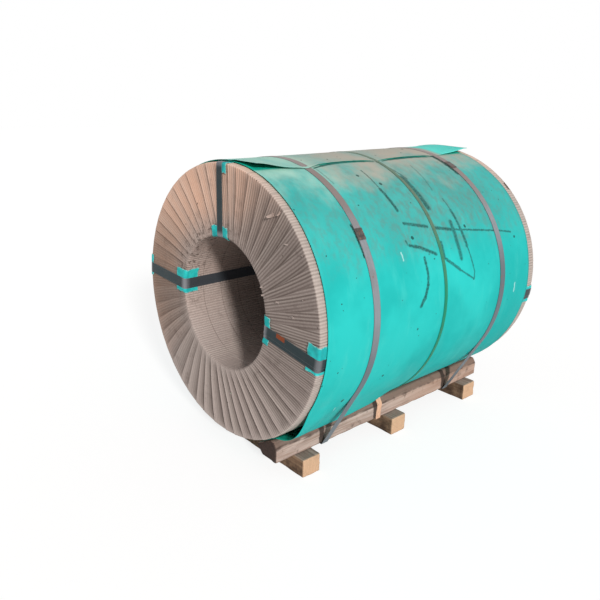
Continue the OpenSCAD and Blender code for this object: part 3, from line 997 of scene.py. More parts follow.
def sheet_finish():
    """Dull turquoise plastic with dust above, dark scuffs and specks."""
    material, tree, shader = finish("turquoise_sheet")
    point, flat = place(tree), unwrapped(tree)
    cloud = noise(point, 3.5, 4)
    base = blend(spread(cloud, 0.35, 0.65), TURQUOISE_DEEP, TURQUOISE)
    haze = spread(noise(stretch(flat, 5, 16, 1), 1, 5, 0.6), 0.5, 0.75, 0.0, 0.25)
    base = blend(haze, base, TURQUOISE_PALE)
    turn, along = parts(flat)[:2]
    up = calc("SINE", turn / SHEET_R)
    drift = noise(stretch(flat, 5, 6, 1), 1, 6, 0.58)
    settled = up + drift * 0.55
    behind = spread(along, BAND_BACK_Y + BAND_W / 2, BAND_BACK_Y + 2 * BAND_W)
    flap = calc("LESS_THAN", turn, flat_point(SEAM_ANGLE - 330, 0)[0]) * behind
    covered = spread(turn, flat_point(SEAM_ANGLE - 1, 0)[0], flat_point(SEAM_ANGLE + 1, 0)[0])
    normal = add_node(tree, "NewGeometry", {}, "Normal")
    facing = vector_calc("DOT_PRODUCT", normal, from_axis(point), "Value")
    covered = calc("MAXIMUM", covered, calc("LESS_THAN", facing, 0))
    clean = 1 - calc("MAXIMUM", flap, covered)
    # Painted light: the lap's lifted back corner is painted brighter where it catches the light.
    base = blend(flap * 0.8, base, FLAP_PAINTED_LIGHT)
    base = blend(spread(along, 0.15, SHEET_BACK, 0.0, 0.35), base, TURQUOISE_BACK)
    dirty = clean * spread(along, -0.5, 0.05, 0.6, 1.0)
    dirty = dirty * spread(along, 0.3, 0.5, 1.0, 0.6)
    film = spread(settled, 0.5, 1.05, 0.0, 0.42) * dirty
    base = blend(film, base, GRIME)
    mottle = spread(noise(stretch(flat, 24, 38, 1), 1, 7, 0.72), 0.44, 0.62)
    grime = spread(settled, 0.55, 0.85) * dirty * mottle
    base = blend(grime * 0.5, base, GRIME)
    dust = spread(settled, 1.04, 1.33, 0.0, 0.9) * clean
    base = blend(dust, base, blend(spread(along, -0.45, -0.22), DUST_THIN, DUST))
    base = blend(covered * 0.85, base, INNER_GREEN)
    wobble = noise(flat, 90, 2.0, 0.5, output="Color")
    shaken = vector_calc("MULTIPLY", vector_calc("SUBTRACT", wobble, (0.5, 0.5, 0.5)), SCUFF_SHAKE)
    rough_point = vector_calc("ADD", flat, shaken)
    marks = 0.0
    # Scuffs, and a few painted shadows beside the bands.
    for width, dark, points in SCUFFS_AND_BAND_SHADOWS:
        mark = strokes(rough_point, SCUFF_WIDER * width, points)
        marks = calc("MAXIMUM", marks, mark * dark)
    patchy = spread(noise(flat, 130, 3), 0.3, 0.6, 0.55, 1.0)
    base = blend(marks * patchy, base, SCUFF_AND_SHADOW_DARK)
    for low_y, high_y in ((BAND_FRONT_Y, 0.0), (0.0, BAND_BACK_Y)):
        shadow_at = [(float(free_edge(y)) - 0.9, y / MM) for y in np.linspace(low_y + 0.03, high_y - 0.02, 8)]
        for width, points in zip(SHADOW_WIDTHS_MM, zip(shadow_at, shadow_at[1:])):
            base = blend(strokes(flat, width, points) * 0.9, base, SHADE_GREEN)
    # Painted highlight: short pale glints on small dents.
    for points in NICK_GLINTS:
        base = blend(strokes(rough_point, NICK_GLINT_WIDTH_MM, points) * 0.7, base, NICK_GLINT_PALE)
    large = use(SPECKS, Vector=rough_point, Scale=16.0, Size=0.13, Cover=0.42)["Mask"]
    small = use(SPECKS, Vector=rough_point, Scale=45.0, Size=0.15, Cover=0.14)["Mask"]
    specks = calc("MAXIMUM", large, small) * 0.85
    ripples = relief(noise(flat, 22, 3), 1.2 * MM, 0.35)
    dress(shader, base=blend(specks, base, SCUFF_AND_SHADOW_DARK), roughness=spread(drift, 0.3, 0.7, 0.5, 0.68),
          specular=0.07, normal=relief(noise(point, 300, 2), 0.2 * MM, 0.3, ripples))
    return material


roll_sheet(sheet_finish())

# %% [markdown]
# ## Straps through the eye
# Three dark steel straps pass through the bore and hold the paper on, and the right one is doubled. Their
# shape in the model is already right, so they stay and only get a finish. Blued steel is nearly black and
# half dull, with long fine scratches. Its rolled edges are worn and carry a painted highlight, its bends over
# the lip and rim a painted glint, and the part inside the bore is painted lighter as painted light. The
# strap's own direction is worked out from its angle, so the scratches run along it.

# %% Finish the eye straps
EYE_STRAP_W, LEFT_STRAP_W = 32 * MM, 43 * MM
STRAP_DARK = colour(0.011, 0.03, 0.036)
STRAP_WEAR_AND_HIGHLIGHT = colour(0.2, 0.22, 0.23)
STRAP_BEND_GLINT = colour(0.4, 0.4, 0.43)
STRAP_SCRATCHED = colour(0.05, 0.062, 0.066)
STRAP_CLOUDY = colour(0.045, 0.048, 0.05)
STRAP_INSIDE_LIT = colour(0.1, 0.095, 0.11)
RUST = colour(0.26, 0.05, 0.009)
RUST_AT = (337 * MM, 22 * MM)
RUST_SIZE = (21 * MM, 9 * MM)


def strap_finish(name, degrees, width, shift, rusty=False):
    """Blued steel for a strap at an angle, with its middle shifted across it."""
    material, tree, shader = finish(name)
    point = place(tree)
    inputs = {"Vector": point, "Location": (0, 0, AXIS_Z), "Rotation": (0, -math.radians(degrees), 0)}
    turned = add_node(tree, "Mapping", inputs, vector_type="TEXTURE")
    out, along, across = parts(turned)
    off = abs(across - shift * MM)
    edge = spread(off, width / 2 - 1.4 * MM, width / 2)
    scratch = use(STREAKS, Vector=stretch(turned, 6, 6, 500), Scale=1.0, Detail=4.0)["Value"]
    base = blend(scratch * 0.3, STRAP_DARK, STRAP_SCRATCHED)
    cloud = spread(noise(point, 25, 4), 0.4, 0.7, 0.0, 0.4)
    base = blend(cloud, base, STRAP_CLOUDY)
    # Painted highlight and wear along the rolled edges.
    base = blend(edge * 0.6, base, STRAP_WEAR_AND_HIGHLIGHT)
    # Painted glint on the bends over the lip and the rim.
    from_end = abs(abs(along) - END_Y)
    for corner, reach, share in ((BORE_R, 30 * MM, 0.6), (WRAP_R, 22 * MM, 0.36)):
        near = from_end + abs(out - corner)
        base = blend(spread(near, reach, 8 * MM, 0.0, share), base, STRAP_BEND_GLINT)
    # Painted light: the part inside the bore is lighter where light falls on it.
    inner = spread(out, BORE_R + 4 * MM, BORE_R - 4 * MM, 0.0, 0.5)
    base = blend(inner, base, STRAP_INSIDE_LIT)
    if rusty:
        off_out = (out - RUST_AT[0]) / RUST_SIZE[0]
        off_across = (across - RUST_AT[1]) / RUST_SIZE[1]
        far = calc("MAXIMUM", abs(off_out), abs(off_across))
        ragged = far + noise(point, 80, 4) * 0.5
        front = calc("LESS_THAN", along, 20 * MM - END_Y)
        base = blend(spread(ragged, 1.35, 1.15) * front, base, RUST)
    dress(shader, base=base, roughness=spread(scratch, 0, 1, 0.3, 0.44), metallic=0.1, specular=0.2,
          normal=relief(scratch, 0.15 * MM, 0.3))
    return material


TOP_ANGLE, LEFT_ANGLE, RIGHT_ANGLE = 90.5, 176.5, -9
for node_name, degrees, width, shift, rusty in (
        ("eye_strap_top", TOP_ANGLE, EYE_STRAP_W, 0, False),
        ("eye_strap_left", LEFT_ANGLE, LEFT_STRAP_W, 0, False),
        ("eye_strap_right", RIGHT_ANGLE, EYE_STRAP_W, 0, False),
        ("eye_strap_right_double", RIGHT_ANGLE, EYE_STRAP_W, 13, True)):
    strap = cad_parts[node_name]
    strap.data.materials.clear()
    strap.data.materials.append(strap_finish(node_name, degrees, width, shift, rusty))
    print(node_name, "finished")

# %% [markdown]
# ## Corner pads
# Where a strap turns over the rim or into the bore, a scrap of turquoise plastic lies under it, so that the
# steel doesn't cut the paper. The scraps are cut by hand, so no two are alike and their edges are torn white.
# Each one starts as a flat grid. It is laid along the bend of the corner by formula, which keeps it just
# above the paper all the way, and Solidify gives it its thickness.

# %% Lay the corner pads
PAD_T = 0.6 * MM
PAD_LIFT = 0.8 * MM
PAD_WAVE = 1.6 * MM
TORN_REACH = 1.6 * MM
PAD_SEED = 100
PAD_DEEP = colour(0.018, 0.45, 0.45)
PAD_LIGHT = colour(0.035, 0.62, 0.6)
PAD_TORN = colour(0.66, 0.84, 0.8)
PAD_DIRT = colour(0.08, 0.16, 0.15)
FRONT, BACK = -1, 1
#        node, strap, whether at the rim, end, then in mm: reach across, clockwise and counter-clockwise,
#        and legs on the end and on the wall
PADS = (
    ("pad_top_front_rim", TOP_ANGLE, True, FRONT, 41, 14, 34, 40),
    ("pad_top_front_bore", TOP_ANGLE, False, FRONT, 46, 50, 42, 36),
    ("pad_left_front_rim", LEFT_ANGLE, True, FRONT, 58, 33, 20, 44),
    ("pad_left_front_bore", LEFT_ANGLE, False, FRONT, 59, 38, 60, 60),
    ("pad_right_front_rim", RIGHT_ANGLE, True, FRONT, 27, 70, 50, 46),
    ("pad_right_front_bore", RIGHT_ANGLE, False, FRONT, 38, 62, 33, 50),
    ("pad_top_back_rim", TOP_ANGLE, True, BACK, 36, 30, 40, 44),
    ("pad_top_back_bore", TOP_ANGLE, False, BACK, 30, 38, 42, 45),
    ("pad_left_back_rim", LEFT_ANGLE, True, BACK, 33, 40, 45, 44),
    ("pad_left_back_bore", LEFT_ANGLE, False, BACK, 36, 31, 40, 46),
    ("pad_right_back_rim", RIGHT_ANGLE, True, BACK, 33, 42, 45, 43),
    ("pad_right_back_bore", RIGHT_ANGLE, False, BACK, 30, 41, 38, 47),
)


def over_corner(along, at_rim, lift):
    """Radius and depth along the bend of a corner: on the end below zero, on the wall above it."""
    bend = RIM_ROUND if at_rim else LIP_ROUND
    half = bend * math.pi / 4
    turn = np.clip((along + half) / bend, 0, math.pi / 2)
    reach = (bend + lift) * np.sin(turn) - np.clip(-half - along, 0, None)
    depth = bend - (bend + lift) * np.cos(turn) + np.clip(along - half, 0, None)
    return (WRAP_R - bend + reach if at_rim else BORE_R + bend - reach), depth


def lay_pad(node, degrees, at_rim, side, clockwise, counter, end_leg, wall_leg, seed, material):
    """One pad over a corner, with torn edges and a slight wave beside its strap."""
    piece, grid = flat_grid(48, 44)
    rng = np.random.default_rng(seed)
    skip = (RIM_ROUND if at_rim else LIP_ROUND) * (1 - math.pi / 4)
    low = -end_leg * MM + skip + ripple(rng, grid[:, 1] * 14, 0, 4 * MM)
    high = wall_leg * MM - skip + ripple(rng, grid[:, 1] * 12, 0, 3 * MM)
    along = low + grid[:, 0] * (high - low)
    left = -clockwise * MM + ripple(rng, along / (7 * MM), 0, 3 * MM)
    right = counter * MM + ripple(rng, along / (7 * MM), 0, 3 * MM)
    across = left + grid[:, 1] * (right - left)
    beside = smooth_step(np.abs(across), 17 * MM, 30 * MM) * smooth_step(-along, -14 * MM, 0)
    lift = PAD_LIFT + beside * (PAD_WAVE + ripple(rng, along / (9 * MM), across / (9 * MM), PAD_WAVE))
    radius, depth = over_corner(along, at_rim, lift)
    out = np.sqrt(np.maximum(radius ** 2 - across ** 2, 0))
    cos, sin = math.cos(math.radians(degrees)), math.sin(math.radians(degrees))
    x, z = out * cos - across * sin, out * sin + across * cos
    move_points(piece, np.stack([x, side * (END_Y - depth), AXIS_Z + z], axis=1))
    margin = np.minimum.reduce([grid[:, 0] * (high - low), (1 - grid[:, 0]) * (high - low),
                                grid[:, 1] * (right - left), (1 - grid[:, 1]) * (right - left)])
    paint(piece, "torn", np.exp(-margin / TORN_REACH))
    apply_modifier(piece, "SOLIDIFY", thickness=PAD_T, offset=0)
    bpy.ops.object.shade_smooth()
    hand_over(piece, node.replace("pad_", "scrap_"), "corner_pad", material, node)


def pad_finish():
    """Turquoise plastic with edges torn white and a little dirt."""
    material, tree, shader = finish("pad_plastic")
    point = place(tree)
    base = blend(spread(noise(point, 25, 3), 0.35, 0.65), PAD_DEEP, PAD_LIGHT)
    torn = painted(tree, "torn") * spread(noise(point, 120, 3), 0.4, 0.6)
    base = blend(torn * 0.8, base, PAD_TORN)
    dirt = spread(noise(point, 70, 5, 0.6), 0.58, 0.75, 0.0, 0.4)
    dress(shader, base=blend(dirt, base, PAD_DIRT), roughness=0.5, specular=0.12,
          normal=relief(noise(point, 60, 3), 0.6 * MM, 0.4))
    return material


pad_plastic = pad_finish()
for seed, pad in enumerate(PADS):
    lay_pad(*pad, seed=PAD_SEED + seed, material=pad_plastic)

# %% [markdown]
# ## Bands round the coil
# Two steel bands hold the coil to its runners: over the top, straight down to the runners' lower edges and
# across underneath. A band is a closed line, pulled out to a strip. So a circle with as many points as the
# line is moved on to it, its ring is extruded sideways, and Solidify gives it its thickness. The narrow
# green band round the middle is made in the same way from a plain ring.

# %% Bend the bands
STRIP_STEPS = 4
ARC_STEPS, SIDE_STEPS, UNDER_STEPS, RING_STEPS = 300, 24, 40, 360
SHARP_DEGREES = 40
runner_low, runner_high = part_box("runner_right")
BAND_IN_R = node_radii("steel_band_front")[0]
BAND_T = (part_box("steel_band_front")[1].z - AXIS_Z) - BAND_IN_R
GREEN_IN_R, GREEN_OUT_R = node_radii("plastic_band")
GREEN_LOW_Y, GREEN_HIGH_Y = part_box("plastic_band")[0].y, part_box("plastic_band")[1].y
LAYER_SLIP = 0.5 * MM


def straight(start, stop, steps):
    """Points along a straight run, without its last one."""
    share = np.arange(steps)[:, None] / steps
    return np.asarray(start) * (1 - share) + np.asarray(stop) * share


def band_line(grow):
    """Closed line of a steel band as x and z about the axis, grown outwards."""
    corner_x, corner_z = runner_high.x + LAYER_SLIP, runner_low.z - LAYER_SLIP - AXIS_Z
    leave = math.atan2(corner_z, corner_x) + math.acos(BAND_IN_R / math.hypot(corner_x, corner_z))
    radius, low = BAND_IN_R + grow, corner_z - grow
    side = (radius - math.sin(leave) * low) / math.cos(leave)
    turn = np.linspace(leave, math.pi - leave, ARC_STEPS)
    arc = radius * np.stack([np.cos(turn), np.sin(turn)], axis=1)
    left, right = (-side, low), (side, low)
    under = straight(left, right, UNDER_STEPS)
    down, up = straight(arc[-1], left, SIDE_STEPS), straight(right, arc[0], SIDE_STEPS)
    return np.concatenate([arc[:-1], down, under, up])


def bend_strip(line, low_y, high_y, thickness):
    """Strip along a closed line about the axis, between two places along it."""
    start_clean()
    bpy.ops.mesh.primitive_circle_add(vertices=len(line), radius=1, fill_type="NOTHING")
    piece = bpy.context.object
    move_points(piece, np.stack([line[:, 0], np.full(len(line), low_y), AXIS_Z + line[:, 1]], axis=1))
    open_mesh()
    step = (0, (high_y - low_y) / STRIP_STEPS, 0)
    for _ in range(STRIP_STEPS):
        bpy.ops.mesh.extrude_region_move(TRANSFORM_OT_translate={"value": step})
    face_outwards()
    apply_modifier(piece, "SOLIDIFY", thickness=thickness, offset=0)
    bpy.ops.object.shade_smooth_by_angle(angle=math.radians(SHARP_DEGREES))
    return piece


def paint_across(piece, middle_y):
    """Paints how far each point lies from the strip's middle line, and its angle round the coil."""
    points = points_of(piece)
    paint(piece, "off_middle", np.abs(points[:, 1] - middle_y))
    paint(piece, "turn", np.arctan2(points[:, 2] - AXIS_Z, points[:, 0]))


# %% [markdown]
# Strapping steel comes rolled, so its marks run along it. The angle painted round the band lets the streaks
# follow it over the coil. It is brown with dust on top, its edges are dark and it has started to rust here
# and there; lower down it is painted darker and bluer as painted shade. The green band is plastic, ribbed
# along its length, with painted shade in its grooves.

# %% Finish the bands
STEEL_DULL = colour(0.24, 0.255, 0.285)
STEEL_BRIGHT = colour(0.4, 0.42, 0.45)
GREEN_RIB_PITCH = 2.4 * MM
STEEL_CLOUDY = colour(0.2, 0.19, 0.19)
STEEL_DUSTY = colour(0.24, 0.165, 0.14)
STEEL_LOW_SHADE = colour(0.085, 0.115, 0.14)
STEEL_EDGE = colour(0.12, 0.12, 0.125)
STEEL_RUST = colour(0.2, 0.085, 0.04)
GREEN_FRESH = colour(0.004, 0.26, 0.14)
GREEN_FADED = colour(0.13, 0.2, 0.14)
GREEN_GROOVE_SHADE = colour(0.01, 0.08, 0.05)
GREEN_DIRT = colour(0.05, 0.09, 0.07)


def band_finish():
    """Dull grey strapping steel with marks along it and a little rust."""
    material, tree, shader = finish("strapping_steel")
    point = place(tree)
    turn, off_middle = painted(tree, "turn"), painted(tree, "off_middle")
    run = add_node(tree, "CombineXYZ", {0: turn * 3.0, 1: off_middle * 420.0})
    streak = use(STREAKS, Vector=run, Scale=1.0, Detail=4.0)["Value"]
    base = blend(streak * 0.5, STEEL_DULL, STEEL_BRIGHT)
    cloud = spread(noise(point, 9, 5, 0.6), 0.42, 0.7, 0.0, 0.5)
    base = blend(cloud, base, STEEL_CLOUDY)
    up = calc("SINE", turn)
    base = blend(spread(up, 0.5, 0.85, 0.0, 0.75), base, STEEL_DUSTY)
    # Painted shade: darker and bluer lower down, more so on the back band.
    shift = spread(parts(point)[1], BAND_FRONT_Y, BAND_BACK_Y, 0.0, 0.45)
    low = spread(up - shift, 0.1, -0.4, 0.0, 0.8)
    base = blend(low, base, STEEL_LOW_SHADE)
    edge = spread(off_middle, BAND_W / 2 - 2.5 * MM, BAND_W / 2)
    base = blend(edge * 0.55, base, STEEL_EDGE)
    rust = spread(noise(point, 30, 5, 0.65), 0.62, 0.74, 0.0, 0.7)
    base = blend(rust, base, STEEL_RUST)
    dress(shader, base=base, roughness=spread(streak, 0, 1, 0.38, 0.55), metallic=0.4 - rust * 0.5,
          normal=relief(streak, 0.2 * MM, 0.3))
    return material


def green_finish():
    """Green plastic strapping, ribbed along its length and faded on top."""
    material, tree, shader = finish("green_strapping")
    point = place(tree)
    height = parts(point)[2]
    faded = height + noise(point, 8, 4) * 0.3
    base = blend(spread(faded, 0.75, 1.15), GREEN_FRESH, GREEN_FADED)
    rib = calc("SINE", painted(tree, "off_middle") * (2 * math.pi / GREEN_RIB_PITCH))
    # Painted shade in the grooves between the ribs.
    base = blend(spread(rib, 0.2, 1, 0.0, 0.3), base, GREEN_GROOVE_SHADE)
    dirt = spread(noise(point, 40, 5, 0.6), 0.5, 0.7, 0.0, 0.4)
    dress(shader, base=blend(dirt, base, GREEN_DIRT), roughness=0.5, specular=0.2,
          normal=relief(rib, 0.2 * MM, 0.5))
    return material


strapping = band_finish()
for node_name, middle_y in (("steel_band_front", BAND_FRONT_Y), ("steel_band_back", BAND_BACK_Y)):
    band = bend_strip(band_line(BAND_T / 2), middle_y - BAND_W / 2, middle_y + BAND_W / 2, BAND_T)
    paint_across(band, middle_y)
    hand_over(band, node_name.replace("steel_band", "band"), "steel_band", strapping, node_name)

ring_turn = np.linspace(0, 2 * math.pi, RING_STEPS, endpoint=False)
ring_line = (GREEN_IN_R + GREEN_OUT_R) / 2 * np.stack([np.cos(ring_turn), np.sin(ring_turn)], axis=1)
green_band = bend_strip(ring_line, GREEN_LOW_Y, GREEN_HIGH_Y, GREEN_OUT_R - GREEN_IN_R)
paint_across(green_band, 0)
hand_over(green_band, "green_band", "plastic_band", green_finish(), "plastic_band")

# %% [markdown]
# A seal is a short sleeve of thin steel, folded round both ends of a band and crimped in two places. Its
# section is a low arch, so a flat grid is bent to that arch and then round the coil, bulging between crimps.

# %% Crimp the seals
SEAL_LENGTH = 42 * MM
SEAL_T = 1.2 * MM
SEAL_BULGE = 1.4 * MM
CRIMPS_AT = (-9 * MM, 9 * MM)
CRIMP_REACH = 2.6 * MM
FRONT_SEAL_DEGREES, BACK_SEAL_DEGREES = 35, 63
SEAL_DARK = colour(0.06, 0.05, 0.047)
SEAL_LIGHT = colour(0.12, 0.1, 0.09)
SEAL_CRIMP_SHADE = colour(0.04, 0.036, 0.035)
SEAL_RUST = colour(0.32, 0.11, 0.04)


def crimp_seal(node, name, middle_y, degrees, material):
    """Seal over a steel band at an angle round the coil."""
    piece, grid = flat_grid(44, 30)
    along = (grid[:, 0] - 0.5) * SEAL_LENGTH
    half = BAND_W / 2 + LAYER_SLIP + SEAL_T / 2
    top = BAND_T + LAYER_SLIP + SEAL_T / 2
    stops = np.cumsum([0, top, 2 * half, top])
    sweep = grid[:, 1] * stops[-1]
    crimp = sum(np.exp(-((along - at) / CRIMP_REACH) ** 2) for at in CRIMPS_AT)
    across = np.interp(sweep, stops, (-half, -half, half, half)) * (1.05 - 0.05 * crimp)
    bulge = SEAL_BULGE * (1 - crimp) * (1 - (across / half) ** 2).clip(0)
    turn = math.radians(degrees) + along / BAND_IN_R
    radius = BAND_IN_R + np.interp(sweep, stops, (0, top, top, 0)) + bulge
    x, z = radius * np.cos(turn), AXIS_Z + radius * np.sin(turn)
    move_points(piece, np.stack([x, middle_y + across, z], axis=1))
    paint(piece, "crimp", crimp)
    apply_modifier(piece, "SOLIDIFY", thickness=SEAL_T, offset=0)
    bpy.ops.object.shade_smooth_by_angle(angle=math.radians(SHARP_DEGREES))
    hand_over(piece, name, "seal_steel", material, node)


def seal_finish():
    """Dark steel with painted shade in the crimps, and rusty."""
    material, tree, shader = finish("seal_steel")
    point = place(tree)
    base = blend(spread(noise(point, 60, 4), 0.35, 0.65), SEAL_DARK, SEAL_LIGHT)
    # Painted shade in the crimp dents.
    base = blend(calc("MULTIPLY", painted(tree, "crimp"), 0.4, clamp=True), base, SEAL_CRIMP_SHADE)
    rust = spread(noise(point, 90, 5, 0.65), 0.55, 0.68, 0.0, 0.85)
    dress(shader, base=blend(rust, base, SEAL_RUST), roughness=0.48, metallic=0.3,
          normal=relief(noise(point, 200, 3), 0.3 * MM, 0.5))
    return material


seal_steel = seal_finish()
crimp_seal("seal_front", "front_seal", BAND_FRONT_Y, FRONT_SEAL_DEGREES, seal_steel)
crimp_seal("seal_back", "back_seal", BAND_BACK_Y, BACK_SEAL_DEGREES, seal_steel)

# %% [markdown]
# ## The timber skid
# The skid is rough sawn wood: two runners with a seat planed off for the coil, on three cross timbers. The
# runners keep the slant of the log along their inner lower edge. Each timber starts as a cube of the
# measured size, and a runner is planed by cuts through its mesh. A voxel remesh then gives it an even skin,
# which is smoothed a little, so that its edges are blunt. The saw's grain, the chipped edges and the broken
# ends are pressed into that skin by formula.

# %% Saw the timbers
VOXEL = 4 * MM
GRAIN_DEPTH = 0.5 * MM
CHIP_DEPTH = 3.5 * MM
BREAK_DEPTH = 1.6 * MM
RUNNER_SEED, CROSS_SEED = 40, 60


def sawn_block(low, high):
    """Block between two corners."""
    start_clean()
    bpy.ops.mesh.primitive_cube_add(size=1, location=(low + high) / 2)
    piece = bpy.context.object
    piece.scale = high - low
    bpy.ops.object.transform_apply(location=True, rotation=True, scale=True)
    return piece


def plane_off(piece, point, normal):
    """Takes away what lies beyond a plane, on the side that its normal points to."""
    bpy.context.view_layer.objects.active = piece
    open_mesh()
    bpy.ops.mesh.bisect(plane_co=point, plane_no=normal, use_fill=True, clear_outer=True)
    bpy.ops.object.mode_set(mode="OBJECT")


def weather(piece, length_axis, seed):
    """Gives a block its worn skin, and paints its ends, tops and sides for the finish."""
    apply_modifier(piece, "REMESH", mode="VOXEL", voxel_size=VOXEL)
    apply_modifier(piece, "SMOOTH", factor=0.5, iterations=2)
    rng = np.random.default_rng(seed)
    points = points_of(piece)
    normals = np.empty(points.size)
    piece.data.vertices.foreach_get("normal", normals)
    normals = normals.reshape(-1, 3)
    run = points[:, length_axis]
    side, up = points[:, 1 - length_axis], points[:, 2]
    end = smooth_step(np.abs(normals[:, length_axis]), 0.5, 0.8)
    grain = ripple(rng, run / (160 * MM), (side + 0.8 * up) / (4 * MM), GRAIN_DEPTH)
    grain += ripple(rng, run / (60 * MM), (side - 0.7 * up) / (9 * MM), GRAIN_DEPTH)
    broken = ripple(rng, side / (7 * MM), up / (6 * MM), BREAK_DEPTH)
    edge = 1 - smooth_step(np.max(np.abs(normals), axis=1), 0.72, 0.98)
    chips = CHIP_DEPTH * edge * np.maximum(ripple(rng, run / (22 * MM), (side + up) / (30 * MM), 1.6), 0)
    points -= normals * ((1 - end) * (grain + GRAIN_DEPTH) + end * broken + chips)[:, None]
    move_points(piece, points)
    # The front value lets the finish paint shade on faces that look to the front.
    for name, values in (("end", end), ("top", normals[:, 2]), ("front", -normals[:, 1])):
        paint(piece, name, np.clip(values, 0, 1))
    bpy.ops.object.shade_smooth()


# %% [markdown]
# Wood shows three faces. Along the grain it is streaked, light and dark. Across the grain, at the ends, it
# shows the rings of the tree. On top it is grey from sun and rain. One shader group makes the streaks and the
# dark pores from any point, so both kinds of timber use it with their own directions and colours.

# %% Build the grain
GRAIN, given, made = new_group("grain", [("Vector", VECTOR)], [("Streak", FLOAT), ("Pore", FLOAT)])
warped = noise(given["Vector"], 1.0, 5.0, 0.5, distortion=0.6)
feed(made["Streak"], spread(warped, 0.3, 0.7))
feed(made["Pore"], spread(noise(given["Vector"], 3.2, 4, 0.65), 0.6, 0.72))


def rings(point, heart, pitch):
    """Growth rings round a line through the heart of the tree, along the timber."""
    far = vector_calc("LENGTH", stretch(point, 0, 1, 1, (0, -heart[0], -heart[1])), None, "Value")
    uneven = noise(point, 20, 3) * (2.2 * pitch)
    wave = calc("SINE", (far + uneven) * (2 * math.pi / pitch))
    return spread(wave, -0.2, 1.0)


print("group", GRAIN.name)

# %% Finish the timbers
RUNNER_PALE = colour(0.6, 0.475, 0.42)
RUNNER_BROWN = colour(0.3, 0.19, 0.145)
RUNNER_CLOUDY = colour(0.36, 0.26, 0.225)
RUNNER_WARM = colour(0.46, 0.27, 0.19)
RUNNER_SMEAR = colour(0.15, 0.1, 0.085)
RUNNER_SLANT_STAIN_AND_SHADE = colour(0.19, 0.125, 0.1)
RUNNER_PAINTED_SHADOW = colour(0.035, 0.024, 0.02)
RUNNER_END_GRAIN_AND_SHADE_DARK = colour(0.02, 0.013, 0.011)
RUNNER_END_GRAIN_AND_SHADE = colour(0.085, 0.055, 0.045)
WOOD_DARK = colour(0.07, 0.045, 0.036)
CROSS_TAN = colour(0.7, 0.45, 0.29)
CROSS_BROWN = colour(0.2, 0.115, 0.07)
CROSS_GREY = colour(0.36, 0.29, 0.25)
CROSS_GREY_DARK = colour(0.2, 0.15, 0.125)
CROSS_LIGHT = colour(0.5, 0.32, 0.2)
CROSS_FRONT_SHADE = colour(0.045, 0.025, 0.017)
CROSS_RING = colour(0.48, 0.28, 0.16)
CROSS_CLOUDY = colour(0.42, 0.27, 0.17)
EDGE_Z = runner_high.z - WANE_H
HEART_AT = (-30 * MM, 110 * MM)
RING_PITCH = 7 * MM
tie_low, tie_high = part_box("runner_tie")
BAND_AND_TIE_SHADOWS_AT = (BAND_FRONT_Y - 14 * MM, BAND_BACK_Y - 14 * MM, tie_low.y - 5 * MM)


def runner_finish():
    """Weathered wood with a slant that is stained and darkened by painted shade, a dark line along its edge,
    and painted shadows beside the bands and the tie.
    """
    material, tree, shader = finish("runner_wood")
    point = place(tree)
    y, z = parts(point)[1:]
    wood = use(GRAIN, Vector=stretch(point, 95, 4, 95))
    cloud = noise(stretch(point, 30, 6, 30), 1, 4)
    base = blend(wood["Streak"] * 0.8, RUNNER_PALE, RUNNER_BROWN)
    base = blend(spread(cloud, 0.45, 0.7, 0.0, 0.6), base, RUNNER_CLOUDY)
    base = blend(spread(y, -0.15, 0.3, 0.0, 0.55), base, RUNNER_WARM)
    smear = noise(stretch(point, 34, 5, 34), 1, 5, 0.65)
    base = blend(spread(smear, 0.55, 0.7, 0.0, 0.7), base, RUNNER_SMEAR)
    base = blend(spread(noise(point, 26, 5, 0.7), 0.54, 0.68, 0.0, 0.55), base, WOOD_DARK)
    # The slant is stained and also darkened by painted shade from the coil and sheet above it.
    slant = spread(z, EDGE_Z - 1 * MM, EDGE_Z + 4 * MM)
    base = blend(slant * 0.85, base, RUNNER_SLANT_STAIN_AND_SHADE)
    from_edge = abs(z - EDGE_Z)
    ragged = noise(stretch(point, 40, 12, 40), 1, 5, 0.7) * (13 * MM)
    stain = spread(from_edge - ragged, -1 * MM, -6 * MM, 0.0, 0.85)
    patchy = spread(noise(stretch(point, 3, 9, 3), 1, 3), 0.4, 0.6, 0.15, 1.0)
    base = blend(stain * patchy, base, WOOD_DARK)
    base = blend(wood["Pore"] * 0.6, base, WOOD_DARK)
    # Painted shadows on the runner beside the two bands and the tie.
    for middle in BAND_AND_TIE_SHADOWS_AT:
        from_shadow = abs(y - middle) + noise(point, 70, 4) * (12 * MM)
        base = blend(spread(from_shadow, 22 * MM, 15 * MM, 0.0, 0.9), base, RUNNER_PAINTED_SHADOW)
    # The end grain is dark, and painted darker still as shade under the coil.
    end = blend(noise(point, 120, 4), RUNNER_END_GRAIN_AND_SHADE_DARK, RUNNER_END_GRAIN_AND_SHADE)
    dress(shader, base=blend(painted(tree, "end"), base, end), roughness=0.85, specular=0.25,
          normal=relief(wood["Streak"], 0.8 * MM, 0.6))
    return material


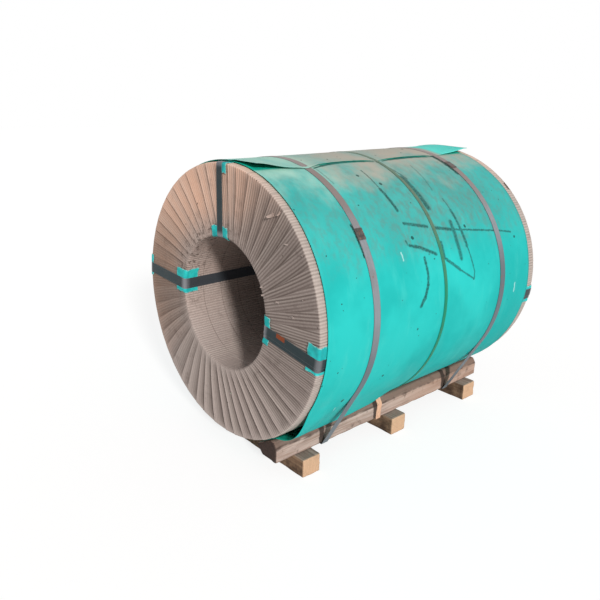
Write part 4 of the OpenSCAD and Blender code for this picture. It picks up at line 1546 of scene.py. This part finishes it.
def cross_finish():
    """Newer wood: tan ends with rings, brown sides with painted shade on those that face the front, and grey
    tops.
    """
    material, tree, shader = finish("cross_wood")
    point = place(tree)
    wood = use(GRAIN, Vector=stretch(point, 5, 110, 110))
    base = blend(wood["Streak"] * 0.7, CROSS_LIGHT, CROSS_BROWN)
    # Painted shade on the faces that look to the front.
    front = painted(tree, "front") * spread(noise(point, 22, 4), 0.3, 0.65, 0.35, 1.0)
    base = blend(front * 0.9, base, CROSS_FRONT_SHADE)
    grey = blend(wood["Streak"], CROSS_GREY, CROSS_GREY_DARK)
    base = blend(painted(tree, "top"), base, grey)
    ring = rings(point, HEART_AT, RING_PITCH)
    sawn = blend(ring * 0.4, CROSS_TAN, CROSS_RING)
    sawn = blend(spread(noise(point, 30, 4), 0.5, 0.75, 0.0, 0.4), sawn, CROSS_CLOUDY)
    base = blend(painted(tree, "end"), base, sawn)
    base = blend(wood["Pore"] * 0.5, base, WOOD_DARK)
    dress(shader, base=base, roughness=0.82, specular=0.25, normal=relief(wood["Streak"], 0.7 * MM, 0.6))
    return material


runner_wood, cross_wood = runner_finish(), cross_finish()

# %% [markdown]
# The seat of a runner slopes with the coil, so its plane goes through the two edges that the measured node
# has there. The left runner is the right one mirrored, so the same cuts are made with the sign turned.

# %% Make the runners and cross timbers
seat_points = points_of(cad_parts["runner_right"])
SEAT_IN_X = runner_low.x
SEAT_IN_Z = seat_points[np.isclose(seat_points[:, 0], SEAT_IN_X, atol=0.1 * MM)][:, 2].max()
BARK_X = seat_points[np.isclose(seat_points[:, 2], runner_low.z, atol=0.1 * MM)][:, 0].min()
SEAT_TOP_X = seat_points[np.isclose(seat_points[:, 2], runner_high.z, atol=0.1 * MM)][:, 0].min()

for seed, (node_name, sign) in enumerate((("runner_right", 1), ("runner_left", -1))):
    low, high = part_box(node_name)
    runner = sawn_block(low, high)
    slope = (SEAT_IN_Z - runner_high.z, SEAT_TOP_X - SEAT_IN_X)
    plane_off(runner, (sign * SEAT_IN_X, 0, SEAT_IN_Z), (sign * slope[0], 0, slope[1]))
    plane_off(runner, (sign * runner_high.x, 0, EDGE_Z), (sign * WANE_H, 0, WANE_W))
    bark = (runner_low.z - SEAT_IN_Z, SEAT_IN_X - BARK_X)
    plane_off(runner, (sign * SEAT_IN_X, 0, SEAT_IN_Z), (sign * bark[0], 0, bark[1]))
    weather(runner, 1, RUNNER_SEED + seed)
    hand_over(runner, node_name.replace("runner_", "timber_runner_"), "runner_wood", runner_wood, node_name)

for seed, place_name in enumerate(("front", "middle", "back")):
    node_name = "cross_timber_" + place_name
    cross = sawn_block(*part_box(node_name))
    weather(cross, 0, CROSS_SEED + seed)
    hand_over(cross, "timber_cross_" + place_name, "cross_wood", cross_wood, node_name)

# %% [markdown]
# A strip of tan board is tied round the right runner. Its line follows the runner's section a little way
# out, and its points wander a little, because the strip has gone soft.

# %% Tie the strip round the runner
TIE_T = 1 * MM
TIE_STEPS = 14
TIE_WANDER, TIE_WAVE, TIE_LEAN = 2.5 * MM, 19 * MM, 0.05
TIE_TAN = colour(0.88, 0.52, 0.35)
TIE_FIBRE = colour(0.66, 0.38, 0.25)
TIE_DIRT = colour(0.2, 0.12, 0.08)


def tie_line(out):
    """Closed line round the right runner's section, a distance out, as x and z about the axis."""
    low, high, side = runner_low.z - out, runner_high.z + out, runner_high.x + out
    corners = [(BARK_X - out / 2, low), (side, low), (side, EDGE_Z + out / 2),
               (runner_high.x - WANE_W + out / 2, high), (SEAT_TOP_X - out / 2, high),
               (SEAT_IN_X - out, SEAT_IN_Z + out / 4)]
    runs = [straight(start, stop, TIE_STEPS) for start, stop in zip(corners, corners[1:] + corners[:1])]
    return np.concatenate(runs) - (0, AXIS_Z)


def tie_finish():
    """Tan board with fibres along the strip and a grubby surface."""
    material, tree, shader = finish("tan_strip")
    point = place(tree)
    fibre = use(STREAKS, Vector=stretch(point, 20, 300, 20), Scale=1.0, Detail=3.0)["Value"]
    base = blend(fibre, TIE_TAN, TIE_FIBRE)
    dirt = spread(noise(point, 60, 4), 0.5, 0.75, 0.0, 0.5)
    dress(shader, base=blend(dirt, base, TIE_DIRT), roughness=0.75,
          normal=relief(fibre, 0.3 * MM, 0.4))
    return material


tie = bend_strip(tie_line(LAYER_SLIP + TIE_T / 2), tie_low.y, tie_high.y, TIE_T)
tie_points = points_of(tie)
tie_z = tie_points[:, 2]
tie_points[:, 1] += TIE_WANDER * np.sin(tie_z / TIE_WAVE) + TIE_LEAN * (tie_z - runner_low.z)
move_points(tie, tie_points)
hand_over(tie, "tan_tie", "tie_strip", tie_finish(), "runner_tie")

# %% [markdown]
# ## The coil itself
# The steel is hidden under the paper, yet the part may be opened up later. So the measured coil keeps its
# plain form and gets a brushed finish, with the edges of its turns as fine rings on the ends.

# %% Finish the steel coil
TURN_PITCH = 3 * MM
COIL_GREY = colour(0.45, 0.46, 0.48)
COIL_LIGHT = colour(0.58, 0.59, 0.61)
COIL_LINE = colour(0.15, 0.15, 0.16)


def coil_finish():
    """Bare rolled steel with its turns as fine rings."""
    material, tree, shader = finish("rolled_steel")
    point = place(tree)
    turn = calc("FRACT", off_axis(point) / TURN_PITCH)
    line = spread(abs(turn - 0.5), 0.3, 0.5)
    cloud = noise(point, 6, 4)
    base = blend(spread(cloud, 0.35, 0.65), COIL_GREY, COIL_LIGHT)
    dress(shader, base=blend(line * 0.5, base, COIL_LINE), metallic=0.9, roughness=0.38)
    return material


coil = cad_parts["steel_coil"]
coil.data.materials.clear()
coil.data.materials.append(coil_finish())
